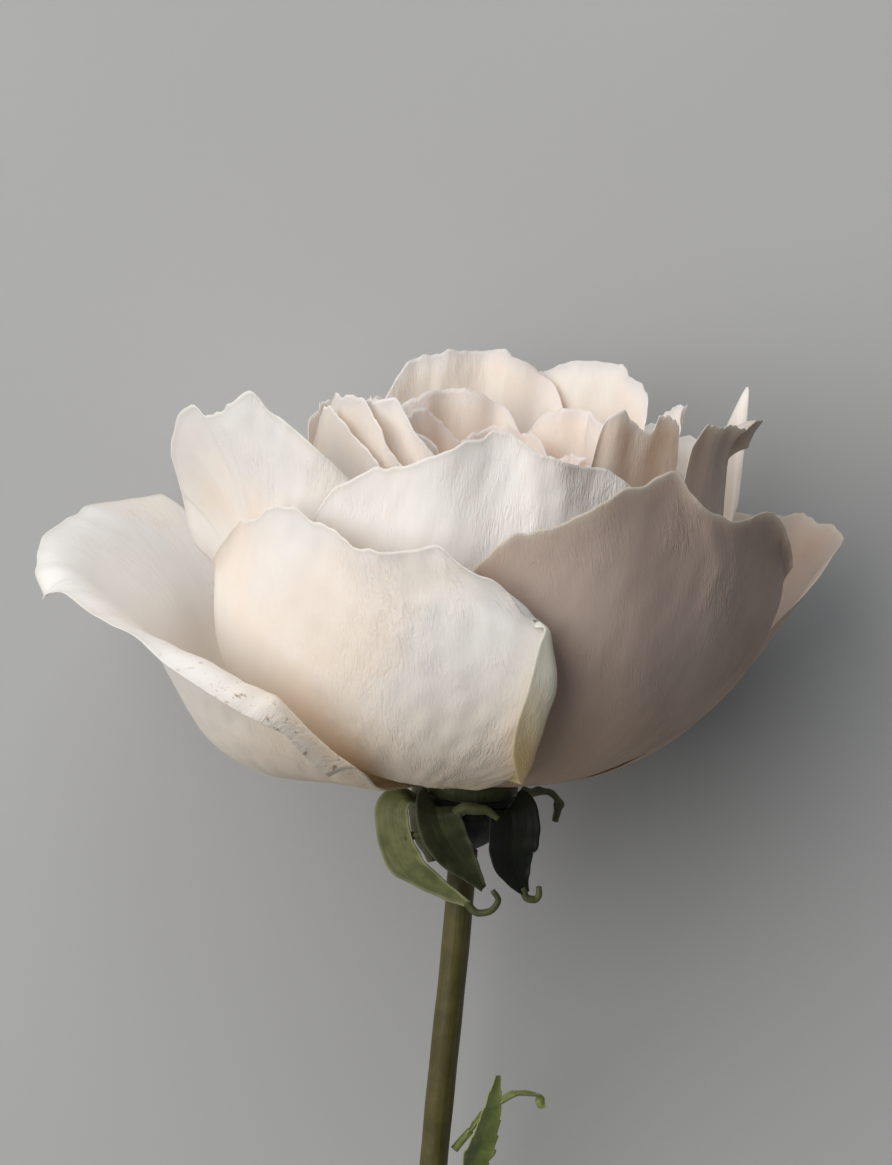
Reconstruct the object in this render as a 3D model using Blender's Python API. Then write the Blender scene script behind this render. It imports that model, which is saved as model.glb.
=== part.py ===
"""Garden rose on a cut stem, lying down: the bloom rests on its back petal and the stem on its cut end.

Sizes are in millimetres in the flower's own frame and are turned to metres when a mesh is made.
Flower frame: the origin is where the petals meet the hip, +Z runs up the bloom's axis,
-Y faces the side that is seen from above when the flower lies down, +X is to the right of it.
A petal's turn is its angle round the axis from -Y towards +X, in degrees.
"""
import math

import bmesh
import bpy
import numpy as np

MM = 0.001
STEM_LENGTH = 175.0
STEM_TOP_RADIUS = 1.8
STEM_END_RADIUS = 1.9
PETAL_THICK = 0.8
HEART_THICK = 0.8
SEPAL_THICK = 0.8
LEAF_THICK = 0.7
SEAT_GAP = 0.35
PRESSED = 0.5

for ob in list(bpy.data.objects):
    bpy.data.objects.remove(ob)


# Curves

def smooth(x):
    x = np.clip(x, 0.0, 1.0)
    return x * x * (3.0 - 2.0 * x)


def curve(t, keys):
    """Smooth curve through (place, value) keys that never overshoots them."""
    x = np.array([k[0] for k in keys], float)
    y = np.array([k[1] for k in keys], float)
    if len(x) < 3:
        return np.interp(t, x, y)
    h = np.diff(x)
    d = np.diff(y) / h
    m = np.zeros(len(x))
    total = np.where(d[:-1] + d[1:] == 0, 1.0, d[:-1] + d[1:])
    m[1:-1] = np.where(d[:-1] * d[1:] > 0, 2 * d[:-1] * d[1:] / total, 0.0)
    m[0], m[-1] = d[0], d[-1]
    t = np.clip(t, x[0], x[-1])
    i = np.clip(np.searchsorted(x, t, side="right") - 1, 0, len(h) - 1)
    q = (t - x[i]) / h[i]
    return ((1 + 2 * q) * (1 - q) ** 2 * y[i] + q * (1 - q) ** 2 * h[i] * m[i]
            + q * q * (3 - 2 * q) * y[i + 1] - q * q * (1 - q) * h[i] * m[i + 1])


def spread(n, crowd=0.35):
    """n + 1 places from -1 to 1, a little closer together near both ends."""
    s = np.linspace(-1, 1, n + 1)
    return (1 - crowd) * s + crowd * np.sin(s * math.pi / 2)


# Petal surface

PLAIN = dict(turn=0.0, root=5.4, rise=0.0, slope=((0, 10), (60, 90)), skew=(0.0, 0.0),
             lift=(0.0, 0.0), lift_at=30.0,
             left=((0, -22), (1, -50)), right=((0, 22), (1, 50)), top=((-1, 40), (0, 50), (1, 40)),
             roll=((-1, 10), (1, 10)), zone=6.0, wave=(0.6, 1.6, 0.0), ragged=(0.35, 1),
             crease=(0.0, 0.12, 0.0), flap=None)


def bowl(p, reach=80.0, n=400):
    """Side line of the petal: radius and height along its length, from the slope in degrees."""
    s = np.linspace(0, reach, n)
    a = np.radians(curve(s, p["slope"]))
    step = s[1] - s[0]
    out = np.concatenate([[0], np.cumsum(0.5 * (np.cos(a[1:]) + np.cos(a[:-1])) * step)])
    up = np.concatenate([[0], np.cumsum(0.5 * (np.sin(a[1:]) + np.sin(a[:-1])) * step)])
    return s, p["root"] + out, p["rise"] + up


def side_scale(pair, rel, S):
    """Factor growing with the square of the angle from the petal's middle, 1 + pair at 60 degrees.

    It comes in over the first 18 mm, so the claws keep their places.
    """
    return 1 + side_square(pair, rel) * smooth(S / 18.0)


def side_lift(pair, rel, S, full):
    """Millimetres that the sides stand higher than the middle: pair at 60 degrees, from full on."""
    return side_square(pair, rel) * np.clip(S / full, 0, 1) ** 2


def side_square(pair, rel):
    """Square of the angle from the petal's middle over 60 degrees, with a factor for each side."""
    x = rel / 60.0
    return pair[0] * np.clip(-x, 0, None) ** 2 + pair[1] * np.clip(x, 0, None) ** 2


def petal_sheet(spec, across, along):
    """Middle surface of a petal as rows from claw to rim.

    The petal is a trimmed piece of a bowl: u runs from its left edge (-1) to its right edge (1),
    v from the claw (0) to the rim (1). The length of a vein at u is the rim key, the angle at
    v lies between the edge keys, and radius and height come from the side line. The last few
    millimetres roll outward, the rim waves, and a crease may run up the middle.
    """
    p = {**PLAIN, **spec}
    u = spread(across)
    v = np.linspace(0, 1, along + 1)
    U, V = np.meshgrid(u, v)
    top = curve(u, p["top"])
    size, seed = p["ragged"]
    rng = np.random.default_rng(seed)
    for count, share in ((5, 0.5), (9, 0.55), (15, 0.45), (23, 0.3)):
        top = top + size * share * np.sin(count * u * math.pi / 2 + rng.uniform(0, 2 * math.pi))
    S = V * top[None, :]
    lo, hi = curve(V, p["left"]), curve(V, p["right"])
    rel = lo + (hi - lo) * (U + 1) / 2
    s, R, Z = bowl(p)
    slope = np.radians(curve(S, p["slope"]))
    bend = np.radians(curve(U, p["roll"])) * smooth(1 - (top[None, :] - S) / p["zone"])
    step = np.diff(S, axis=0)

    def run(f):
        w = f(slope - bend) - f(slope)
        return np.vstack([np.zeros((1, w.shape[1])), np.cumsum(0.5 * (w[1:] + w[:-1]) * step, axis=0)])

    r = np.interp(S, s, R) * side_scale(p["skew"], rel, S) + run(np.cos)
    z = np.interp(S, s, Z) + side_lift(p["lift"], rel, S, p["lift_at"]) + run(np.sin)
    T = S / np.max(top)
    size, turns, phase = p["wave"]
    r = r + size * np.sin(2 * math.pi * (turns * U + phase)) * T ** 3
    z = z + 0.4 * size * np.sin(2 * math.pi * (turns * 0.8 * U + phase + 0.3)) * T ** 3
    depth, width, place = p["crease"]
    r = r + depth * np.exp(-((U - place) / width) ** 2) * smooth((T - 0.5) / 0.5)
    az = np.radians(p["turn"] + rel)
    P = np.stack([r * np.sin(az), -r * np.cos(az), z], axis=-1)
    return roll_flap(P, u, v, p["flap"]) if p["flap"] else P


def roll_flap(P, u, v, flap):
    """Turn the right margin outward: past its fold line each row follows an arc, then goes straight."""
    start, end, share, radius, angle = flap
    part = share * np.sin(math.pi * np.clip((v - start) / (end - start), 0, 1)) ** 0.8
    out = P.copy()
    for j in range(len(v)):
        if part[j] < 1e-3:
            continue
        fold = 1 - part[j]
        row = P[j]

        def at(x, grid):
            return np.array([np.interp(x, u, grid[:, k]) for k in range(3)])

        p0 = at(fold, row)
        run = p0 - at(fold - 0.12, row)
        pace = np.linalg.norm(run) / 0.12
        run = run / np.linalg.norm(run)
        up = at(fold, P[min(j + 1, len(v) - 1)] - P[max(j - 1, 0)])
        out_way = np.cross(run, up)
        out_way = out_way / max(np.linalg.norm(out_way), 1e-9)
        if out_way @ np.array([p0[0], p0[1], 0.0]) < 0:
            out_way = -out_way
        sel = u > fold
        th = (u[sel] - fold) * pace / radius
        arc = np.minimum(th, angle)
        rest = th - arc
        go = np.sin(arc) + rest * math.cos(angle)
        lift = 1 - np.cos(arc) + rest * math.sin(angle)
        out[j, sel] = p0 + radius * (go[:, None] * run + lift[:, None] * out_way)
    return out


def normals(P):
    """Unit normal of every grid point; for a petal it points away from the bloom's axis."""
    n = np.cross(np.gradient(P, axis=1), np.gradient(P, axis=0))
    return n / np.maximum(np.linalg.norm(n, axis=2, keepdims=True), 1e-9)


def sheet_shell(P, thick):
    """Closed solid round a grid: both faces split alike into triangles, and the edge closed."""
    N = normals(P)
    outer, inner = P + 0.5 * thick * N, P - 0.5 * thick * N
    rows, cols = P.shape[:2]
    count = rows * cols
    verts = np.concatenate([outer.reshape(-1, 3), inner.reshape(-1, 3)])
    faces = []
    for j in range(rows - 1):
        for i in range(cols - 1):
            a, b = j * cols + i, j * cols + i + 1
            c, d = a + cols, b + cols
            pairs = ((a, b, d), (a, d, c)) if (i < cols // 2) else ((a, b, c), (b, d, c))
            for t in pairs:
                faces.append(t)
                faces.append(tuple(count + k for k in reversed(t)))
    ring = [i for i in range(cols)]
    ring += [j * cols + cols - 1 for j in range(1, rows)]
    ring += [(rows - 1) * cols + i for i in range(cols - 2, -1, -1)]
    ring += [j * cols for j in range(rows - 2, 0, -1)]
    for a, b in zip(ring, ring[1:] + ring[:1]):
        faces.append((b, a, count + a))
        faces.append((b, count + a, count + b))
    return verts, faces


# Outer petals, from the outside inward

LOW = ((0, 12), (8, 13), (14, 18), (22, 36), (30, 62), (40, 82), (50, 92), (70, 96))
CUP = ((0, 12), (8, 18), (14, 34), (22, 58), (30, 76), (40, 90), (50, 98), (70, 102))
DEEP = ((0, 15), (8, 30), (14, 50), (22, 68), (30, 82), (40, 88), (70, 88))

OUTER = {
    "front_left": dict(
        turn=-27, rise=0.5, slope=LOW, skew=(0.0, 0.16), lift=(0.0, 4.0), lift_at=15.0,
        left=((0, -22), (0.35, -40), (0.66, -50), (0.91, -44), (1, -40)),
        right=((0, 22), (0.2, 33), (0.38, 42), (0.55, 47), (0.7, 49), (0.86, 43), (1, 33)),
        top=((-1, 46), (-0.8, 50.5), (-0.57, 53), (-0.39, 55), (-0.12, 53.5), (0.12, 52), (0.55, 52.5),
             (0.68, 51), (0.87, 49.5), (1, 46)),
        roll=((-1, 25), (0, 15), (1, 30)), flap=(0.3, 0.98, 0.2, 1.0, 2.7)),
    "front_right": dict(
        turn=42, rise=0.8, skew=(-0.26, 0.0),
        slope=((0, 14), (8, 17), (14, 26), (22, 38), (30, 51), (38, 66), (46, 84), (70, 92)),
        left=((0, -22), (0.38, -32), (0.71, -44), (1, -48)),
        right=((0, 22), (0.39, 35), (0.63, 38), (0.87, 38.5), (1, 31)),
        top=((-1, 47), (-0.8, 53), (-0.5, 57), (-0.3, 60), (-0.14, 61.5), (-0.04, 62.5),
             (0.06, 60), (0.3, 57.5), (0.61, 57), (1, 50)),
        roll=((-1, 10), (0, 15), (1, 30))),
    "far_left": dict(
        turn=-85, rise=-0.2, lift=(13, 16.5), skew=(0.0, 0.26),
        slope=((0, 5), (8, 3), (15, 1), (20, 8), (26, 32), (32, 54), (38, 58), (44, 48), (52, 32), (62, 20),
               (75, 18)),
        left=((0, -22), (0.32, -30), (0.6, -38), (1, -40)),
        right=((0, 24), (0.25, 40), (0.5, 54), (0.75, 60), (1, 57)),
        top=((-1, 57), (-0.76, 61.5), (-0.53, 62), (-0.29, 60.5), (-0.1, 59.5), (0.04, 56.5), (0.18, 53),
             (0.41, 47.5), (0.65, 41), (0.85, 33.5), (1, 25)),
        roll=((-1, 15), (-0.5, 15), (-0.3, 40), (-0.12, 75), (0.08, 25), (0.35, 30), (0.6, 75), (1, 90)),
        zone=8.0),
    "far_right": dict(
        turn=105, rise=0.1, skew=(-0.5, -0.12),
        slope=((0, 8), (8, 13), (14, 24), (22, 38), (30, 50), (38, 54), (46, 58), (56, 64), (70, 66)),
        left=((0, -20), (0.35, -24), (0.65, -25), (1, -24)),
        right=((0, 22), (0.36, 34), (0.68, 42), (1, 46)),
        top=((-1, 48), (-0.7, 54), (-0.3, 56), (0.0, 56), (0.6, 54), (1, 44)),
        roll=((-1, 10), (0, 15), (1, 30))),
    "back": dict(
        turn=180, rise=-0.4, skew=(0.5, 0.5),
        slope=((0, 6), (8, 9), (14, 17), (22, 36), (30, 56), (40, 70), (50, 74), (70, 66)),
        left=((0, -22), (0.36, -34), (0.68, -38), (1, -38)),
        right=((0, 22), (0.36, 34), (0.68, 38), (1, 38)),
        top=((-1, 44), (-0.74, 51), (-0.26, 54), (0.26, 54), (0.74, 51), (1, 44)),
        roll=((-1, 10), (0, 15), (1, 10)), ragged=(0.15, 2), wave=(0.2, 1.6, 0.0)),
}
MIDDLE = {
    "front": dict(
        turn=5, slope=CUP, skew=(0.3, 0.0),
        left=((0, -22), (0.35, -38), (0.65, -45), (1, -46)),
        right=((0, 22), (0.36, 36), (0.68, 42), (1, 44)),
        top=((-1, 46), (-0.9, 51), (-0.53, 55), (-0.19, 58), (-0.11, 59), (0.17, 57), (0.54, 55),
             (0.74, 53), (1, 44)),
        roll=((-1, 10), (1, 10))),
    "left": dict(
        turn=-72, skew=(0.2, -0.4),
        slope=((0, 12), (10, 18), (18, 36), (25, 60), (33, 75), (42, 81), (48, 77), (56, 73), (70, 70)),
        left=((0, -22), (0.29, -32), (0.55, -37), (1, -36)),
        right=((0, 22), (0.3, 28), (0.57, 34), (1, 40)),
        top=((-1, 42), (-0.84, 46), (-0.66, 50.5), (-0.53, 54), (-0.35, 58), (-0.15, 61.5), (-0.04, 59.5),
             (0.1, 60.5), (0.26, 62.5), (0.4, 64.5), (0.5, 61.5), (0.79, 57.5), (1, 52)),
        roll=((-1, 42), (-0.5, 38), (-0.15, 22), (0.2, 5), (1, 5)), zone=20.0),
    "right": dict(
        turn=75,
        slope=((0, 12), (8, 18), (14, 34), (22, 58), (30, 72), (40, 84), (48, 92), (56, 86), (62, 60),
               (70, 50)),
        left=((0, -22), (0.3, -26), (0.56, -28), (1, -22)),
        right=((0, 22), (0.31, 24), (0.58, 20), (1, 14)),
        top=((-1, 58), (-0.6, 61), (-0.2, 60), (0.4, 61), (0.8, 62.5), (1, 58)),
        roll=((-1, 0), (0, 10), (0.6, 50), (1, 60))),
    "back_right": dict(
        turn=140,
        slope=((0, 12), (10, 18), (18, 34), (26, 56), (34, 74), (42, 80), (50, 80), (60, 76), (70, 70)),
        left=((0, -22), (0.38, -32), (0.71, -34), (1, -30)),
        right=((0, 22), (0.38, 32), (0.71, 34), (1, 33)),
        top=((-1, 50), (-0.85, 60), (-0.72, 65), (-0.58, 58), (-0.2, 57), (0.02, 58), (0.56, 55), (1, 42)),
        roll=((-1, 10), (1, 10))),
    "back_left": dict(
        turn=-144, slope=CUP,
        left=((0, -22), (0.38, -32), (0.71, -34), (1, -33)),
        right=((0, 22), (0.38, 32), (0.71, 34), (1, 33)),
        top=((-1, 42), (-0.53, 52), (0.02, 54), (0.56, 54), (1, 42)),
        roll=((-1, 10), (1, 10))),
}
INNER = {
    "left": dict(
        turn=-48, slope=DEEP, skew=(0.2, 0.0),
        left=((0, -22), (0.35, -30), (0.65, -28), (1, -20)),
        right=((0, 20), (0.38, 30), (0.71, 36), (1, 36)),
        top=((-1, 48), (-0.8, 53), (-0.5, 52), (-0.2, 50), (0.26, 46.5), (0.73, 43), (1, 38)),
        ragged=(0.4, 3)),
    "left_second": dict(
        turn=-48, slope=((0, 20), (8, 38), (14, 56), (22, 72), (30, 84), (50, 86)),
        left=((0, -22), (0.35, -34), (0.65, -34), (1, -26)),
        right=((0, 20), (0.38, 30), (0.71, 36), (1, 38)),
        top=((-1, 46), (-0.8, 52), (-0.3, 53), (0.0, 51), (0.3, 46.5), (0.73, 42), (1, 38)),
        ragged=(0.4, 13)),
    "left_third": dict(
        turn=-38, slope=((0, 24), (8, 42), (14, 60), (22, 76), (30, 85), (50, 87)),
        left=((0, -22), (0.35, -36), (0.65, -36), (1, -28)),
        right=((0, 20), (0.38, 30), (0.71, 36), (1, 38)),
        top=((-1, 46), (-0.7, 51), (-0.2, 52), (0.1, 49), (0.4, 45), (0.73, 41), (1, 38)), ragged=(0.5, 23)),
    "right": dict(
        turn=46, slope=DEEP, skew=(-0.2, 0.3),
        left=((0, -18), (0.36, -24), (0.68, -24), (1, -18)),
        right=((0, 22), (0.35, 28), (0.65, 28), (1, 22)),
        top=((-1, 47), (-0.7, 55), (-0.5, 56), (0.1, 53.5), (0.5, 55.5), (0.8, 54), (1, 50)),
        ragged=(0.4, 4)),
}


def evenly_cut(turn, length, half, **more):
    """A petal with the same outline on both sides: half is its half width in degrees."""
    sides = ((0, 20), (0.4, 0.75 * half), (0.75, 0.97 * half), (1, half))
    return dict(turn=turn, left=tuple((v, -a) for v, a in sides), right=sides,
                top=((-1, 0.78 * length), (-0.85, 0.88 * length), (-0.6, 0.95 * length), (0, length),
                     (0.6, 0.96 * length), (0.85, 0.88 * length), (1, 0.78 * length)), **more)


def inner_ring(turns, lengths, half, seed, **more):
    """Petals of one inner turn, each with its own rim, wave and crease."""
    rng = np.random.default_rng(seed)
    out = []
    for k, (turn, length) in enumerate(zip(turns, lengths)):
        out.append(evenly_cut(turn, length, half * rng.uniform(0.92, 1.05),
                              ragged=(0.4, 20 * seed + k), wave=(0.5, 1.7, rng.uniform(0, 1)),
                              crease=(rng.uniform(-0.8, 0.8), 0.15, rng.uniform(-0.2, 0.2)), **more))
    return out


INNER_TURNS = ((2, 42, 33), (98, 55, 27), (144, 58, 38), (186, 58, 38), (-112, 51, 30))
HEART = (
    inner_ring((-85, -30, 22, 75, 135, -160), (46, 38, 37, 43, 45, 46), 42, 6, root=3.6, rise=6.4,
               slope=((0, 30), (8, 52), (14, 68), (22, 80), (30, 88), (50, 94)), skew=(-0.4, 0.1))
    + inner_ring((-65, 0, 50, 110, 170, -120), (40, 31, 33, 37, 39, 41), 44, 7, root=3.5, rise=7.2,
                 slope=((0, 45), (8, 66), (14, 78), (22, 86), (30, 90), (50, 92)), skew=(-0.45, 0.12))
    + inner_ring((20, 92, 164, -124, -52), (29, 31, 32, 33, 31), 52, 8, root=3.6, rise=8.4,
                 slope=((0, 60), (8, 80), (14, 86), (22, 90), (50, 92)), skew=(-0.5, 0.12)))


# Round and other solid parts

def turned(profile, sides):
    """Closed solid of revolution from (radius, height) points; a zero radius makes a tip."""
    verts, rows = [], []
    for r, z in profile:
        if r <= 0:
            rows.append([len(verts)])
            verts.append((0.0, 0.0, z))
        else:
            rows.append(list(range(len(verts), len(verts) + sides)))
            verts += [(r * math.sin(2 * math.pi * k / sides), -r * math.cos(2 * math.pi * k / sides), z)
                      for k in range(sides)]
    faces = []
    for low, high in zip(rows, rows[1:]):
        for k in range(sides):
            m = (k + 1) % sides
            if len(low) == 1:
                faces.append((low[0], high[m], high[k]))
            elif len(high) == 1:
                faces.append((low[k], low[m], high[0]))
            else:
                faces.append((low[k], low[m], high[m], high[k]))
    return np.array(verts), faces


def turned_ring(profile, sides):
    """Closed ring from a closed loop of (radius, height) points."""
    count = len(profile)
    verts = [(r * math.sin(2 * math.pi * k / sides), -r * math.cos(2 * math.pi * k / sides), z)
             for k in range(sides) for r, z in profile]
    faces = []
    for k in range(sides):
        for m in range(count):
            n, q = (m + 1) % count, (k + 1) % sides
            faces.append((k * count + m, q * count + m, q * count + n, k * count + n))
    return np.array(verts), faces


def tube(path, radii, sides):
    """Closed tube along a path, with flat ends."""
    path = np.array(path, float)
    radii = np.interp(np.linspace(0, 1, len(path)), np.linspace(0, 1, len(radii)), radii)
    verts, faces = [], []
    side = np.array([0.0, 1.0, 0.0])
    for k, point in enumerate(path):
        way = path[min(k + 1, len(path) - 1)] - path[max(k - 1, 0)]
        way = way / np.linalg.norm(way)
        one = np.cross(side, way)
        one = one / np.linalg.norm(one)
        two = np.cross(way, one)
        for m in range(sides):
            a = 2 * math.pi * m / sides
            verts.append(point + radii[k] * (math.cos(a) * one + math.sin(a) * two))
    for k in range(len(path) - 1):
        for m in range(sides):
            n = (m + 1) % sides
            faces.append((k * sides + m, k * sides + n, (k + 1) * sides + n, (k + 1) * sides + m))
    faces.append(tuple(range(sides - 1, -1, -1)))
    faces.append(tuple((len(path) - 1) * sides + m for m in range(sides)))
    return np.array(verts), faces


def along(points, count):
    """Evenly spaced places on a smooth line through a few points."""
    p = np.array(points, float)
    far = np.concatenate([[0], np.cumsum(np.linalg.norm(np.diff(p, axis=0), axis=1))])
    t = np.linspace(0, far[-1], count)
    return np.stack([curve(t, list(zip(far, p[:, k]))) for k in range(3)], axis=1)


def blade(points, widths, face, rows, cols, cup=0.15, teeth=0.0, teeth_count=6, root_face=None):
    """Leaf or sepal surface: a spine, half widths along it, cupped across, with a toothed edge.

    face is the way the blade looks, and root_face the way it looks at its root, when that differs.
    The half width is a smooth curve and each tooth adds a short slope to it. The edge rises along
    face by cup times the half width.
    """
    spine = along(points, rows + 1)
    t = np.linspace(0, 1, rows + 1)
    w = curve(t, list(zip(np.linspace(0, 1, len(widths)), widths)))
    w = w * (1 + teeth * ((t * teeth_count) % 1.0))
    way = np.gradient(spine, axis=0)
    way = way / np.linalg.norm(way, axis=1, keepdims=True)
    face = np.array(face, float) / np.linalg.norm(face)
    if root_face:
        share = smooth(t / 0.35)[:, None]
        face = (1 - share) * np.array(root_face, float) + share * face
    across = np.cross(way, face)
    across = across / np.linalg.norm(across, axis=1, keepdims=True)
    up = np.cross(across, way)
    u = np.linspace(-1, 1, cols + 1)
    lift = cup * w[:, None] * u[None, :] ** 2
    return (spine[:, None, :] + (w[:, None] * u[None, :])[..., None] * across[:, None, :]
            + lift[..., None] * up[:, None, :])


# Cone that bears the petals, ring that bears the heart, the hip below them and its five sepals

CORE = ((0, -1.4), (5.2, -1.4), (6.5, -0.8), (6.5, 0.6), (5.7, 1.6), (5.5, 2.8), (4.8, 4.0), (4.4, 5.2),
        (3.6, 5.85), (0, 5.85))
HEART_RING = ((2.9, 6.2), (4.3, 6.2), (5.0, 8.0), (5.0, 10.5), (3.9, 10.5), (3.1, 8.6))
UPWARD = (0.0, 0.0, 1.0)
HIP = ((0, -8.4), (1.9, -8.4), (3.2, -7.6), (5.2, -5.9), (6.3, -4.1), (6.8, -2.9), (6.5, -1.95),
       (5.2, -1.8), (0, -1.8))
SEPALS = (
    dict(points=((-4.8, -1.9, -3.6), (-7.9, -3.2, -2.0), (-9.0, -3.8, -3.4), (-8.4, -4.1, -6.6),
                 (-6.8, -4.5, -9.7), (-2.9, -5.1, -12.3), (1.4, -5.8, -14.4)),
         widths=(1.2, 1.9, 2.4, 2.4, 1.8, 1.1, 0.45), face=(-0.4, -0.9, 0.1)),
    dict(points=((-2.5, -4.6, -3.2), (-3.9, -7.1, -1.8), (-3.5, -8.3, -3.0), (-1.9, -8.1, -6.0),
                 (0.7, -7.4, -9.2), (3.0, -6.5, -11.9)),
         widths=(1.9, 2.6, 2.8, 2.4, 1.4, 0.45), face=(0.25, -1.0, 0.1)),
    dict(points=((3.5, -3.8, -3.2), (5.5, -5.8, -1.9), (5.9, -6.5, -3.8), (6.0, -6.2, -7.0),
                 (6.9, -5.6, -10.0), (8.4, -5.1, -12.5)),
         widths=(2.1, 3.2, 3.4, 3.0, 1.8, 0.5), face=(0.35, -0.9, 0.1)),
    dict(points=((4.4, 2.6, -3.4), (7.6, 3.8, -2.2), (10.2, 4.4, -1.6), (11.9, 4.6, -3.2),
                 (11.7, 4.6, -5.4)),
         widths=(1.6, 2.2, 1.3, 0.7, 0.4), face=(0.3, 0.5, 0.9)),
    dict(points=((-2.6, 4.6, -3.8), (-4.6, 7.2, -3.4), (-5.0, 7.8, -7.6), (-3.6, 7.0, -12.6)),
         widths=(1.5, 2.2, 1.7, 0.5), face=(-0.3, 1.0, 0.1)),
)
LOBES = (
    (((1.0, -5.7, -14.2), (2.6, -6.1, -15.3), (4.1, -6.2, -14.9), (5.0, -6.2, -13.4), (4.2, -6.2, -12.2)),
     (0.5, 0.45, 0.35)),
    (((7.9, -5.2, -11.8), (8.7, -5.1, -13.2), (9.6, -5.0, -13.3), (10.1, -4.9, -12.6), (10.0, -4.9, -11.6)),
     (0.45, 0.5, 0.35)),
    (((-1.6, -7.6, -2.6), (0.2, -8.3, -1.3), (2.2, -8.5, -1.3), (4.1, -8.5, -2.3)), (0.8, 0.75, 0.35)),
    (((-7.2, -4.6, -6.6), (-5.4, -5.2, -6.0), (-4.3, -5.3, -6.4)), (0.6, 0.5, 0.35)),
)
STEM_LINE = ((0.2, 0, -8.4 - SEAT_GAP), (0.1, 0, -24), (-0.4, 0, -50), (-0.3, 0, -100), (0, 0, -STEM_LENGTH))

# Two small leaves below the bloom: a blade that stands almost edge on, and a thin arching one

LEAVES = {
    "leaf": dict(
        stalk=((2.15, -1.25, -61.0), (2.8, -1.8, -58.0), (3.4, -2.6, -54.5), (3.9, -3.2, -52.0)),
        points=((3.7, -3.0, -53.0), (4.8, -3.8, -48.0), (6.0, -4.4, -42.6), (6.8, -5.0, -36.8)),
        widths=(1.0, 2.2, 1.5, 0.4), face=(0.62, -0.78, 0.1)),
    "thin_leaf": dict(
        stalk=((2.15, 1.0, -49.3), (2.8, 1.2, -48.4), (3.4, 1.4, -47.6), (4.1, 1.5, -46.7)),
        points=((3.8, 1.4, -47.2), (5.7, 1.7, -44.6), (7.8, 2.0, -42.8), (10.2, 2.4, -41.6),
                (12.4, 2.7, -41.7), (13.2, 2.8, -43.4)),
        widths=(0.6, 1.1, 1.2, 1.1, 0.8, 0.4), face=(-0.35, 0.1, 0.95)),
}


# Stamens in the middle of the heart

def stamen_parts():
    """A low disc with leaning threads on it, each with a thick tip."""
    rng = np.random.default_rng(12)
    parts = [turned(((0, 6.2), (2.4, 6.2), (2.2, 7.3), (0, 7.6)), 10)]
    for k in range(16):
        a = 2 * math.pi * (k * 0.382)
        foot = 1.9 * math.sqrt((k + 0.5) / 16)
        head = foot * 1.5 + 0.3
        tall = 13.5 + rng.uniform(-1.2, 1.2) - 0.5 * foot
        low = (foot * math.sin(a), -foot * math.cos(a), 6.9)
        high = (head * math.sin(a), -head * math.cos(a), tall)
        parts.append(tube((low, high), (0.3, 0.3), 4))
        tip = (head * math.sin(a), -head * math.cos(a), tall + 1.3)
        parts.append(tube((tuple(np.array(high) - (0, 0, 0.3)), tip), (0.62, 0.5), 5))
    return parts


# Making nodes

def srgb(code):
    """Linear colour from a six digit hex code."""
    c = [int(code[k:k + 2], 16) / 255 for k in (0, 2, 4)]
    return tuple(x / 12.92 if x <= 0.04045 else ((x + 0.055) / 1.055) ** 2.4 for x in c) + (1.0,)


def material(name, code, rough):
    m = bpy.data.materials.new(name)
    m.use_nodes = True
    bsdf = m.node_tree.nodes["Principled BSDF"]
    bsdf.inputs["Base Color"].default_value = srgb(code)
    bsdf.inputs["Roughness"].default_value = rough
    bsdf.inputs["Metallic"].default_value = 0.0
    return m


MATERIALS = {
    "petal_white": material("petal_white", "e8dcd3", 0.6),
    "petal_heart": material("petal_heart", "efd3c3", 0.6),
    "sepal_green": material("sepal_green", "4d5a3c", 0.6),
    "stem_green": material("stem_green", "5a5a3a", 0.55),
    "leaf_green": material("leaf_green", "47603a", 0.55),
    "stamen_yellow": material("stamen_yellow", "c9a24a", 0.7),
}


def mesh_object(name, verts, faces, slot, rounded=False):
    mesh = bpy.data.meshes.new(name)
    mesh.from_pydata([tuple(v * MM) for v in np.asarray(verts)], [], faces)
    mesh.materials.append(MATERIALS[slot])
    mesh.polygons.foreach_set("use_smooth", [rounded] * len(mesh.polygons))
    mesh.update()
    ob = bpy.data.objects.new(name, mesh)
    bpy.context.scene.collection.objects.link(ob)
    return ob


def fused(name, parts, slot, rounded=False):
    """One solid from overlapping closed parts: the first is joined with all the others."""
    objects = [mesh_object(name if k == 0 else "%s_part_%d" % (name, k), v, f, slot, rounded)
               for k, (v, f) in enumerate(parts)]
    group = bpy.data.collections.new(name + "_parts")
    bpy.context.scene.collection.children.link(group)
    for ob in objects[1:]:
        bpy.context.scene.collection.objects.unlink(ob)
        group.objects.link(ob)
    join = objects[0].modifiers.new("join", "BOOLEAN")
    join.operation = "UNION"
    join.operand_type = "COLLECTION"
    join.collection = group
    join.solver = "MANIFOLD"
    bpy.context.view_layer.update()
    view = bpy.context.evaluated_depsgraph_get()
    whole = bpy.data.meshes.new_from_object(objects[0].evaluated_get(view))
    old = objects[0].data
    objects[0].modifiers.clear()
    objects[0].data = whole
    whole.name = name
    bpy.data.meshes.remove(old)
    for ob in list(group.objects):
        spare = ob.data
        bpy.data.objects.remove(ob)
        bpy.data.meshes.remove(spare)
    bpy.data.collections.remove(group)
    keep_largest(whole)
    return objects[0]


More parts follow.
